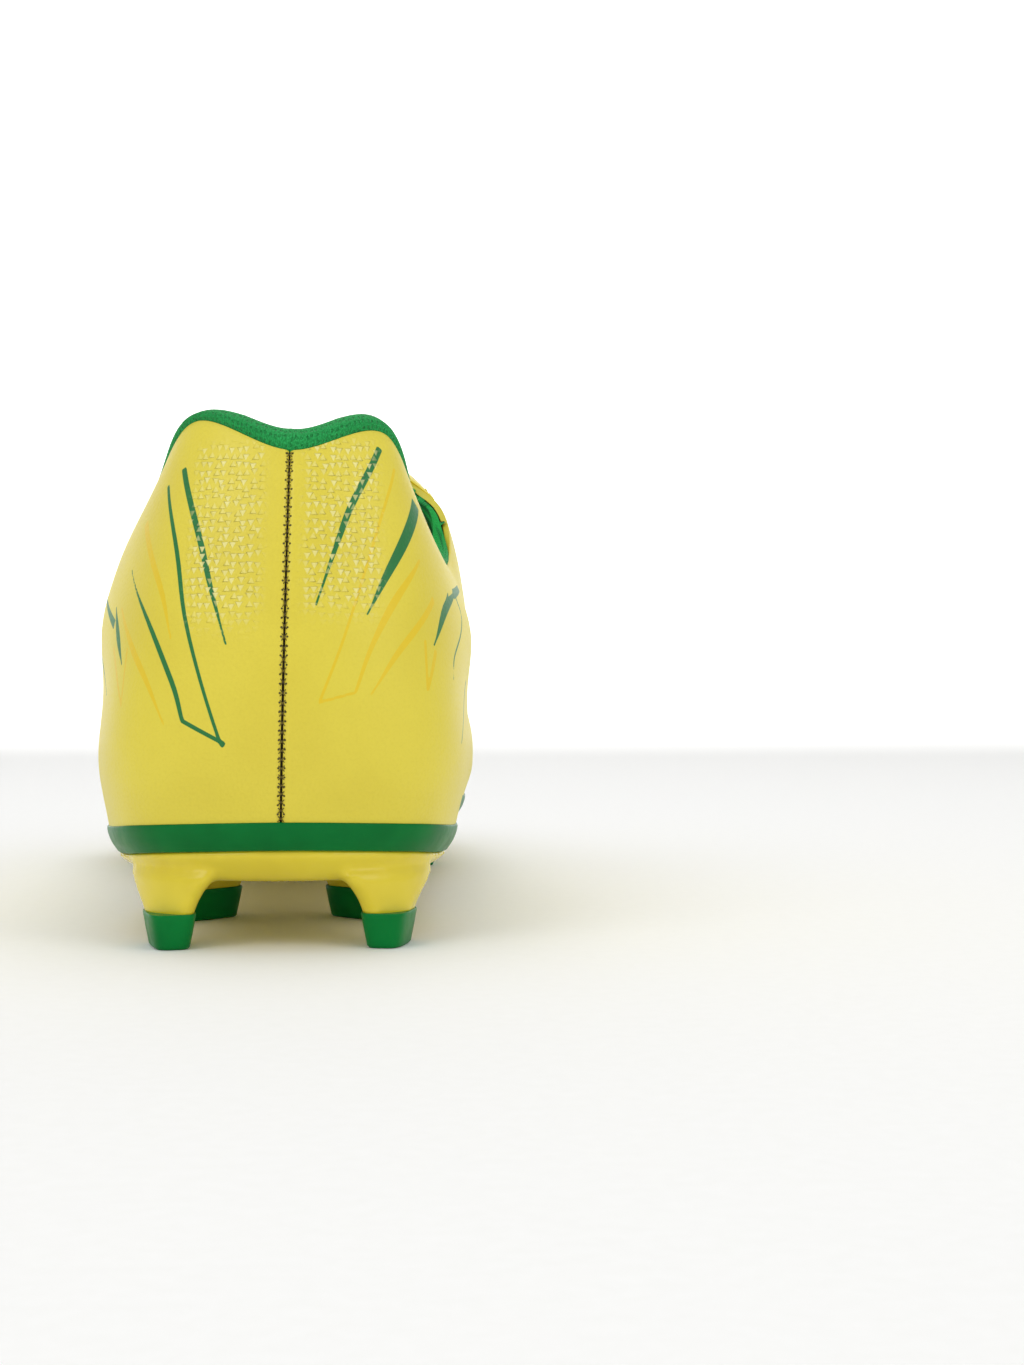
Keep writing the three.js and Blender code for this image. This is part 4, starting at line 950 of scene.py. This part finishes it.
def collarPlace(a, b, lift=0.0):
    u, side = collarSide(a)
    share = collarPlan["rollShare"]
    rise = np.interp(u, *collarPlan["rise"])
    rise = rise + np.exp(-((u - 0.1) / 0.05) ** 2) * np.where(side > 0, 0.9, -0.2)
    taller = np.exp(-((u - 0.23) / 0.075) ** 2)  # along the dip
    rise = rise + taller * np.where(side > 0, 1.7, 0.9)
    padding = insideFace(u, np.ones(u.shape)) * mix(1, 0.72, ramp(0.34, 0.43, u))
    line = alongProfile(collarPlan["profile"], b / share)
    overhang = np.maximum(1.6 - line[..., 0] - line[..., 1] * padding, 0) * ramp(0.3, 0.37, u)
    depth = line[..., 0] + line[..., 1] * padding + overhang + lift * (b > share * 0.8)
    height = line[..., 2] + line[..., 3] * rise + lift * (b < share) - 0.9 * ramp(0.36, 0.41, u)
    rim = surface(u, 1, side)
    up = unit(rim - surface(u, 0.97, side))
    rolled = rim + up * height[..., None] - outward(u, 1, side) * depth[..., None]
    v = np.clip((1 - (b - share) / (1 - share)) * 0.976, 0, 1)
    wall = skin(u, v, side, -insideFace(u, v) * mix(1, 1.02, v) - lift)
    return np.where((b <= share)[..., None], rolled, wall)


def collarUv(a, b):
    u, side = collarSide(a)
    along = np.where(side > 0, readTable(girth[1], u, 1.0 + 0 * u), -readTable(girth[-1], u, 1.0 + 0 * u))
    share = collarPlan["rollShare"]
    return along, np.where(b < share, b / share * 11, 11 + (b - share) / (1 - share) * 72)


def collarMarks(a, b):
    u, side = collarSide(a)
    return {"smoothLining": np.maximum(ramp(0.36, 0.46, b), ramp(0.3, 0.36, u) * ramp(0.1, 0.2, b))}


def makeCollar():
    net = (collarPlan["columns"], collarPlan["rows"])
    collar = gridPiece("paddedCollar", *net, collarPlace, collarUv, collarMarks)
    thicken(collar, collarPlan["wall"], None)
    dress(collar, collarKnit, ["collar_lining", "collar_foam"])


def makeVampLining(side, word):
    fineU = np.linspace(0.4, 1, 601)
    topRow = rowBeside(fineU, side, 0.3)

    def chart(a, b):
        u = mix(0.432, 1, a)
        return u, b * np.interp(u, fineU, topRow)

    def place(a, b, lift=0.0):
        u, v = chart(a, b)
        return skin(u, v, side, -insideFace(u, v) - lift)

    def uv(a, b):
        u, v = chart(a, b)
        return readTable(girth[side], u, v), readTable(drop[side], u, v)

    lining = gridPiece("vampLining" + word, 150, 60, place, uv)
    thicken(lining, 0.9)
    dress(lining, liningKnit, ["vamp_lining"])


makeCollar()
for side, word in ((1, "Medial"), (-1, "Lateral")):
    makeVampLining(side, word)

# Sole unit
solePlan = {"edgeSteps": 420, "plate": 3.0, "bandHeight": 4.6, "voxel": 0.68, "smoothing": 14}


def underside(y):
    waist = 1.8 * ramp(66, 100, y) * (1 - ramp(118, 150, y))
    return last["groundToSole"] + waist + 5 * ramp(215, 300, y) ** 1.2


def featherHeight(u):
    return surface(u, 0, 1)[..., 2]


def roundTheEdge(a):  # once round the boot: heel, medial side, toe, lateral side
    return 1 - np.abs(2 * a - 1), np.where(a < 0.5, 1.0, -1.0)


bandProfile = [[3.4, -0.3], [1.2, 0.1], [-0.12, 0.12], [-0.34, -0.35], [-0.15, -1.4], [0.45, -2.9], [1.4, -4.35],
               [1.85, -4.8], [2.6, -4.9], [3.9, -4.9], [3.6, -2.6], [3.4, -0.3]]


def bandPlace(a, b):
    u, side = roundTheEdge(a)
    line = alongProfile(bandProfile, b)
    return edgeOfSole(u, side, line[..., 0], featherHeight(u) + line[..., 1])


def makeBand():
    band = gridPiece("soleBand", solePlan["edgeSteps"], 44, bandPlace, closed=True)
    dress(band, bandPlastic, ["sole_band"])


# The plate's edge from the top in and down to its flat: inset, share of the way up to the band's foot, extra.
plateEdge = [[5.6, 0, 3.0], [4.6, 1, 0.9], [2.6, 1, 0.5], [1.75, 1, 0.1], [2.0, 0.86, 0], [3.6, 0.5, 0],
             [6.2, 0.12, 0], [9.5, 0, 0]]


def platePlace(a, b):  # for each u, a loop across the boot: over the top and back under it
    u = 0.5 - 0.5 * np.cos(math.pi * a)
    over = b < 0.5
    t = np.where(over, b * 2, (1 - b) * 2)  # lateral 0 to medial 1
    edge = np.minimum(t, 1 - t)
    side = np.where(t < 0.5, -1.0, 1.0)
    line = alongProfile(plateEdge, np.clip(edge / 0.3, 0, 1))
    rim = edgeOfSole(u, side, np.where(over, plateEdge[0][0], line[..., 0]), 0 * u)
    low = underside(rim[..., 1])
    foot = featherHeight(u) - solePlan["bandHeight"] - 0.6
    z = np.where(over, low + plateEdge[0][2], mix(low, foot, line[..., 1]) + line[..., 2])
    inset = np.where(over, plateEdge[0][0], plateEdge[-1][0])
    across = [edgeOfSole(u, half, inset, z) for half in (-1.0, 1.0)]
    inner = np.clip((t - 0.3) / 0.4, 0, 1)
    spread = np.where(over, t, inner)
    flat = mix(across[0], across[1], spread[..., None])
    flat[..., 2] = np.where(over, low + plateEdge[0][2], underside(flat[..., 1]))
    rim[..., 2] = z
    return np.where((over | ((t > 0.3) & (t < 0.7)))[..., None], flat, rim)


studPlan = [
    {"name": "heel_rear", "x": 19.4, "y": 16.5, "length": 14, "width": 8, "turn": -14},
    {"name": "heel_front", "x": 16, "y": 59, "length": 17, "width": 7.5, "turn": 46},
    {"name": "fore_rear", "x": 24, "y": 150, "length": 17, "width": 7.5, "turn": 34},
    {"name": "fore_ball", "x": 33, "y": 181, "length": 17, "width": 7.5, "turn": 12},
    {"name": "fore_toe", "x": 31, "y": 214, "length": 16, "width": 7.5, "turn": -14},
    {"name": "fore_tip", "x": 17, "y": 245, "length": 14, "width": 7.5, "turn": -40},
]
tipHeight = 6.2


def studLoop(stud, side, around, spread, z, squash=1.0):
    angle = around * 2 * math.pi
    c, s = np.cos(angle), np.sin(angle)
    rounding = (np.abs(c) ** 4 + np.abs(s) ** 4) ** -0.25 * squash
    along, across = (stud["length"] / 2 + spread) * s * rounding, (stud["width"] / 2 + spread) * c * rounding
    turn = math.radians(stud["turn"] * side)
    x = float(middleX(stud["y"], 0)) + side * stud["x"]
    return np.stack([x + across * math.cos(turn) - along * math.sin(turn),
                     stud["y"] + across * math.sin(turn) + along * math.cos(turn), z + 0 * along], -1)


def studPiece(name, stud, side, levels, columns=56):  # levels: squash, spread, height
    rows = (len(levels) - 1) * 4

    def place(a, b):
        line = np.array(levels, float)
        at = b * (len(levels) - 1)
        i = np.minimum(at.astype(int), len(levels) - 2)
        line = mix(line[i], line[i + 1], (at - i)[:, None])
        return studLoop(stud, side, a, line[:, 1], line[:, 2], line[:, 0])

    return gridPiece(name, columns, rows, place, closed=True)


def tipFoot(stud):
    return max(0.0, float(underside(stud["y"])) - last["groundToSole"] - 1.2)


def keepInside(piece, inset):  # pull a stud's flare back to the sole's outline
    u, side = roundTheEdge(np.linspace(0, 1, 600, endpoint=False))
    outline = edgeOfSole(u, side, inset, 0 * u)[:, :2]
    inner = edgeOfSole(u, side, inset + 1, 0 * u)[:, :2]
    out = unit(outline - inner)
    co = np.empty(len(piece.data.vertices) * 3)
    piece.data.vertices.foreach_get("co", co)
    points = co.reshape(-1, 3) * 1000 - shift
    nearest = np.linalg.norm(points[:, None, :2] - outline[None], axis=2).argmin(1)
    past = np.maximum(np.sum((points[:, :2] - outline[nearest]) * out[nearest], 1), 0)
    points[:, :2] -= out[nearest] * past[:, None]
    piece.data.vertices.foreach_set("co", toFrame(points).ravel())


def makeSole():
    parts = [gridPiece("outsolePlate", 300, 96, platePlace, closed=True)]
    for stud in studPlan:
        for side, word in ((1, "medial"), (-1, "lateral")):
            foot = tipFoot(stud)
            head = foot + tipHeight
            root = float(underside(stud["y"])) + solePlan["plate"] / 2
            levels = [[0, 0, head - 1.5], [1, -0.5, head - 1.5], [1, -0.1, head], [1, 0.5, head + 1.8],
                      [1, 1.5, mix(head, root, 0.55)], [1, 3.8, root], [0, 0, root]]
            trunk = studPiece("trunk", stud, side, levels)
            keepInside(trunk, 2.1)
            parts.append(trunk)
            tip = [[0, 0, foot], [1, -1.5, foot], [1, -1.05, foot + 0.08], [1, -0.8, foot + 0.4],
                   [1, -0.3, foot + 3], [1, 0.2, head - 0.25], [1, 0.1, head], [0.9, -0.5, head], [0, 0, head]]
            node = "stud_tip_" + stud["name"] + "_" + word
            made = studPiece("".join(part.capitalize() for part in node.split("_")), stud, side, tip)
            made.data.set_sharp_from_angle(angle=math.radians(50))
            dress(made, studPlastic, [node])
    bm = bmesh.new()
    for part in parts:
        bm.from_mesh(part.data)
    plate = parts[0]
    bm.to_mesh(plate.data)
    bm.free()
    for part in parts[1:]:
        bpy.data.objects.remove(part)
    remesh = plate.modifiers.new("oneMoulding", "REMESH")
    remesh.mode = "VOXEL"
    remesh.voxel_size = solePlan["voxel"] * 0.001
    fillet = plate.modifiers.new("fillets", "SMOOTH")
    fillet.factor = 0.5
    fillet.iterations = solePlan["smoothing"]
    bakeModifiers(plate)
    plate.data.shade_smooth()
    dress(plate, solePlastic, ["outsole"])


makeBand()
makeSole()
print("sole moulded")

# Sock liner: knit-topped foam, cupped round the heel
sockPlan = {"inset": 6.2, "thickness": 4, "cup": 3.5, "board": 1.5}


def sockPlace(a, b, lift=0.0):
    u = 0.5 - 0.5 * np.cos(math.pi * a)
    ends = [edgeOfSole(u, half, sockPlan["inset"], 0 * u) for half in (-1.0, 1.0)]
    point = mix(ends[0], ends[1], b[..., None])
    beside = np.minimum(b, 1 - b) * np.linalg.norm(ends[1] - ends[0], axis=-1)
    beside = np.minimum(beside, u * 260)
    cup = sockPlan["cup"] * (1 - ramp(0.3, 0.5, u)) * (1 - ramp(0, 9, beside))
    cup = cup - 0.6 * (1 - ramp(0, 1.2, beside))
    point[..., 2] = (underside(point[..., 1]) + solePlan["plate"] + sockPlan["board"] + 0.6
                     + sockPlan["thickness"] + cup + lift)
    return point


def sockUv(a, b):
    point = sockPlace(a, b)
    return point[..., 0], point[..., 1]


sock = thicken(gridPiece("sockLiner", 160, 60, sockPlace, sockUv), 3.4)
dress(sock, sockKnit, ["sock_liner"])

# Tongue: knit-backed foam pad with a coated face, sewn down at its front edge
tonguePlan = {"half": 20, "narrow": 0.6, "top": 4.35, "depth": 5.0, "stand": 8, "swell": 3.1, "covered": 0.82,
              "columns": 110, "rows": 120}


def tongueMiddle(a, across, depth):
    plan = tonguePlan
    u = mix(throat["end"] - 0.012, 0.5, np.minimum(a / plan["covered"], 1))
    side = np.where(across < 0, -1.0, 1.0)
    corner = 1 - 0.4 * ramp(0.9, 1.02, a)
    half = plan["half"] * mix(1, plan["narrow"], a) * np.abs(across) * corner
    v = rowAtHalfWidth(u, side, np.maximum(half, 0.001))
    swell = plan["swell"] * ramp(0.42, 0, np.abs(across)) * ramp(0, 0.08, a) * (1 - ramp(0.7, 1, a))
    rise = np.clip((a - plan["covered"]) / (1 - plan["covered"]), 0, 1)
    reach = plan["stand"] * rise * (1 - 0.2 * across**2)
    point = skin(u, v, side, swell - depth)
    return point + reach[..., None] * np.array([0, -0.97, 0.25])


def tonguePlace(a, b):
    plan = tonguePlan
    c, s = np.cos(2 * math.pi * b), np.sin(2 * math.pi * b)
    across = np.sign(c) * np.abs(c) ** 0.62
    end = np.sqrt(np.clip(1 - (np.clip(a - 0.95, 0, 1) / 0.05) ** 2, 0, 1))
    thick = plan["depth"] / 2 * mix(0.35, 1, ramp(0, 0.12, a)) * end
    groove = 0.7 * np.exp(-((np.abs(across) - 0.8) / 0.035) ** 2) * ramp(0.02, 0.1, a) * (1 - ramp(0.9, 0.95, a))
    rib = 0.35 * np.exp(-(((a * 7) % 1 - 0.5) / 0.09) ** 2) * (np.abs(across) < 0.72) * ramp(0.1, 0.2, a)
    height = np.sign(s) * np.abs(s) ** 0.72 * thick - np.where(s > 0, groove + rib * (1 - ramp(0.8, 0.9, a)), 0)
    return tongueMiddle(a, across, plan["top"] + plan["depth"] / 2 - height)


def tongueUv(a, b):
    c = np.cos(2 * math.pi * b)
    return c * 18 + 0 * a, a * 66 + np.where(np.sin(2 * math.pi * b) > 0, 0, 100)


def makeTongue():
    face = lambda a, b: {"greenPrint": a * 0 + 9, "amberPrint": a * 0 + 9, "emboss": a * 0}
    net = (tonguePlan["columns"], tonguePlan["rows"])
    pad = gridPiece("tonguePad", *net, tonguePlace, tongueUv, face, closed=True)
    pad.data.materials.append(upperSheet)
    pad.data.materials.append(collarKnit)
    for polygon in pad.data.polygons:
        polygon.material_index = 0 if pad.data.uv_layers[0].data[polygon.loop_start].uv[1] < 90 else 1
    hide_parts("tongue_shell", "tongue_foam", "tongue_lining")
    edge = []
    for across in (0.86, -0.86):
        a = np.linspace(0.06, 0.93, 90)
        edge += stitchRow(tongueMiddle(a, np.full(a.shape, across), np.full(a.shape, tonguePlan["top"] + 0.9)),
                          np.tile([0, -0.4, 0.9], (90, 1)), 2.2)
    sewn = threadPiece("tongueStitching", edge, 0.17)
    sewn.data.materials.append(yellowThread)
    for piece in (pad, sewn):
        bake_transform(piece)


makeTongue()
print("tongue padded")

# Lace: one flat braid, straight bars over the tongue and short runs under the panels
lacePlan = {"width": 4.6, "thickness": 1.1, "slack": 0.25, "gap": 0.3}
laceRun = 1.2 + 2 * lacePlan["gap"] + 0.9 + lacePlan["slack"] + lacePlan["thickness"] / 2
laceOver = 0.95 + lacePlan["slack"] + lacePlan["thickness"] / 2 + 0.3


def eyeletFrame(u, v, side):
    up = outward(u, v, side)
    along = np.array([0, -0.86, 0.51])
    along = unit(along - up * (along @ up))
    inward = np.cross(along, up)
    inward = inward if inward[0] * side < 0 else -inward
    return surface(u, v, side), up, along, inward


def throughEyelet(u, v, side, heading):
    centre, up, along, inward = eyeletFrame(u, v, side)
    wide, flat = lacePlan["width"], lacePlan["thickness"]
    twist = unit(along + inward)
    steps = [(laceOver, 1.9, 0, along, (wide, flat)), (laceOver - 0.35, 0.7, 0, along, (2.9, 1.2)),
             (0.5, 0, 0, twist, (2.2, 1.7)), (-1.6, 0, 0, inward, (2, 1.7)),
             (-laceRun + 0.35, 0, 0.5, inward, (3, 1.2)), (-laceRun, 0, 1.8, inward, (wide * 0.9, flat))]
    return [(centre + up * rise + inward * slot + along * climb * heading, width, size)
            for rise, slot, climb, width, size in steps]


def laceSteps():
    places = {side: eyeletPlaces(side) for side in (1, -1)}
    steps = []
    pairs = eyelets["pairs"]
    for i in range(pairs):
        side = 1 if i % 2 else -1
        here = {k: (float(places[k][0][i]), float(places[k][1][i])) for k in (1, -1)}
        steps += throughEyelet(*here[side], side, -1 if i else 1)[::-1]
        u = here[side][0]
        ends = [surface(*here[k], k)[0] for k in (side, -side)]
        middle = float(surface(u, 1, 1)[0])
        along = eyeletFrame(*here[side], side)[2]
        for share in np.linspace(0.1, 0.9, 9):
            x = mix(*ends, share)
            half = 1.0 if x > middle else -1.0
            v = float(rowAtHalfWidth(u, half, max(abs(x - middle), 0.01)))
            sag = laceOver * float(ramp(0.3, 0.02, abs(share - 0.5)))
            steps.append((skin(u, v, half, laceOver - sag), along, (lacePlan["width"], lacePlan["thickness"])))
        steps += throughEyelet(*here[-side], -side, 1 if i < pairs - 1 else -1)
        if i < pairs - 1:
            after = (float(places[-side][0][i + 1]), float(places[-side][1][i + 1]))
            inward = eyeletFrame(*here[-side], -side)[3]
            for share in (0.38, 0.62):
                u, v = (mix(here[-side][k], after[k], share) for k in (0, 1))
                tucked = (lacePlan["width"] * 0.9, lacePlan["thickness"])
                steps.append((skin(u, v, -side, -laceRun), inward, tucked))
    return steps


def makeLace():
    steps = laceSteps()
    centre = np.array([step[0] for step in steps])
    width = np.array([step[1] for step in steps])
    size = np.array([step[2] for step in steps])
    ahead = unit(np.gradient(centre, axis=0))
    width = unit(width - ahead * np.sum(width * ahead, 1)[:, None])
    for k in range(1, len(width)):
        if width[k] @ width[k - 1] < 0:
            width[k] *= -1
    travel = np.concatenate([[0], np.cumsum(np.linalg.norm(np.diff(centre, axis=0), axis=1))])

    def place(a, b):
        at = alongProfile(np.hstack([centre, width, size]), a)
        way = alongProfile(np.gradient(centre, axis=0), a)
        across = unit(at[:, 3:6])
        thick = unit(np.cross(way, across))
        c, s = np.cos(2 * math.pi * b), np.sin(2 * math.pi * b)
        closing = np.minimum(1, np.minimum(a, 1 - a) * 2500)
        flat = np.sign(c) * np.abs(c) ** 0.55 * at[:, 6] / 2 * closing
        tall = np.sign(s) * np.abs(s) ** 0.8 * at[:, 7] / 2 * closing
        return at[:, :3] + across * flat[:, None] + thick * tall[:, None]

    def uv(a, b):
        return np.interp(a * (len(steps) - 1), np.arange(len(steps)), travel), np.cos(2 * math.pi * b) * 2.3

    lace = gridPiece("bootLace", (len(steps) - 1) * 6, 20, place, uv, closed=True)
    dress(lace, laceBraid, ["lace"])


makeLace()
print("lace threaded")

# CAD pieces that stay: nearly all hidden between the layers
for node, finish in (("insole_board", boardFibre), ("heel_counter", stiffenerSheet), ("toe_puff", stiffenerSheet),
                     ("aglet_lower", agletPlastic), ("aglet_upper", agletPlastic)):
    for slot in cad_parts[node].material_slots:
        slot.material = finish


# Camera, light and floor
camera = bpy.data.objects.new("camera", bpy.data.cameras.new("camera"))
bpy.context.scene.collection.objects.link(camera)
camera.data.lens = 54.5
camera.data.sensor_width = 36
heading = math.radians(4)
camera.location = (0.02118, -0.49186, 0.0466)
camera.rotation_euler = (math.radians(90), 0, -heading)
camera.data.clip_start = 0.01
bpy.context.scene.camera = camera

studio = {"sweepWidth": 6.0, "floorFront": -2.0, "floorBack": 2.2, "bend": 1.2, "height": 3.0}


def makeSweep():
    bm = bmesh.new()
    bmesh.ops.create_grid(bm, x_segments=2, y_segments=60, size=1)
    front, back, bend = studio["floorFront"], studio["floorBack"], studio["bend"]
    for vert in bm.verts:
        t = (vert.co.y + 1) / 2
        x = vert.co.x * studio["sweepWidth"] / 2
        if t < 0.4:
            vert.co = (x, mix(front, back, t / 0.4), 0)
        elif t < 0.7:
            turn = (t - 0.4) / 0.3 * math.pi / 2
            vert.co = (x, back + bend * math.sin(turn), bend * (1 - math.cos(turn)))
        else:
            vert.co = (x, back + bend, mix(bend, studio["height"], (t - 0.7) / 0.3))
    mesh = bpy.data.meshes.new("studioSweep")
    bm.to_mesh(mesh)
    bm.free()
    mesh.shade_smooth()
    sweep = bpy.data.objects.new("studioSweep", mesh)
    bpy.context.scene.collection.objects.link(sweep)
    material, tree, shader = newMaterial("studioPaperWhite", Roughness=0.9)  # matt seamless paper
    place = addNode(tree, "TexCoord", {}, "Object")
    tooth = addNode(tree, "TexNoise", {"Vector": place, "Scale": 400.0, "Detail": 3.0}, "Fac")
    tree.links.new(colourMix(tree, tooth, linear("#f4f4f2"), linear("#f8f8f7")), shader.inputs["Base Color"])
    sweep.data.materials.append(material)


makeSweep()


def addLight(name, place, target, size, power):
    data = bpy.data.lights.new(name, "AREA")
    data.shape = "RECTANGLE"
    data.size, data.size_y = size
    data.energy = power
    light = bpy.data.objects.new(name, data)
    light.location = place
    light.rotation_euler = (Vector(target) - Vector(place)).to_track_quat("-Z", "Y").to_euler()
    bpy.context.scene.collection.objects.link(light)


addLight("keySoftbox", (-0.9, -1.1, 1.1), (0, -0.12, 0.05), (0.9, 0.9), 5)
addLight("fillSoftbox", (1.1, -1.0, 0.8), (0, -0.12, 0.05), (0.8, 1.0), 3.4)
addLight("wallWash", (0.0, 1.6, 1.6), (0, 3.4, 0.7), (2.5, 0.8), 60)
addLight("topSoftbox", (0.0, 0.1, 1.4), (0, 0, 0), (1.2, 1.2), 5)

world = bpy.data.worlds.new("studioAir")
world.use_nodes = True
world.node_tree.nodes["Background"].inputs["Color"].default_value = (1, 1, 1, 1)
world.node_tree.nodes["Background"].inputs["Strength"].default_value = 0.62
bpy.context.scene.world = world
bpy.context.scene.view_settings.view_transform = "Standard"

print("studio set")
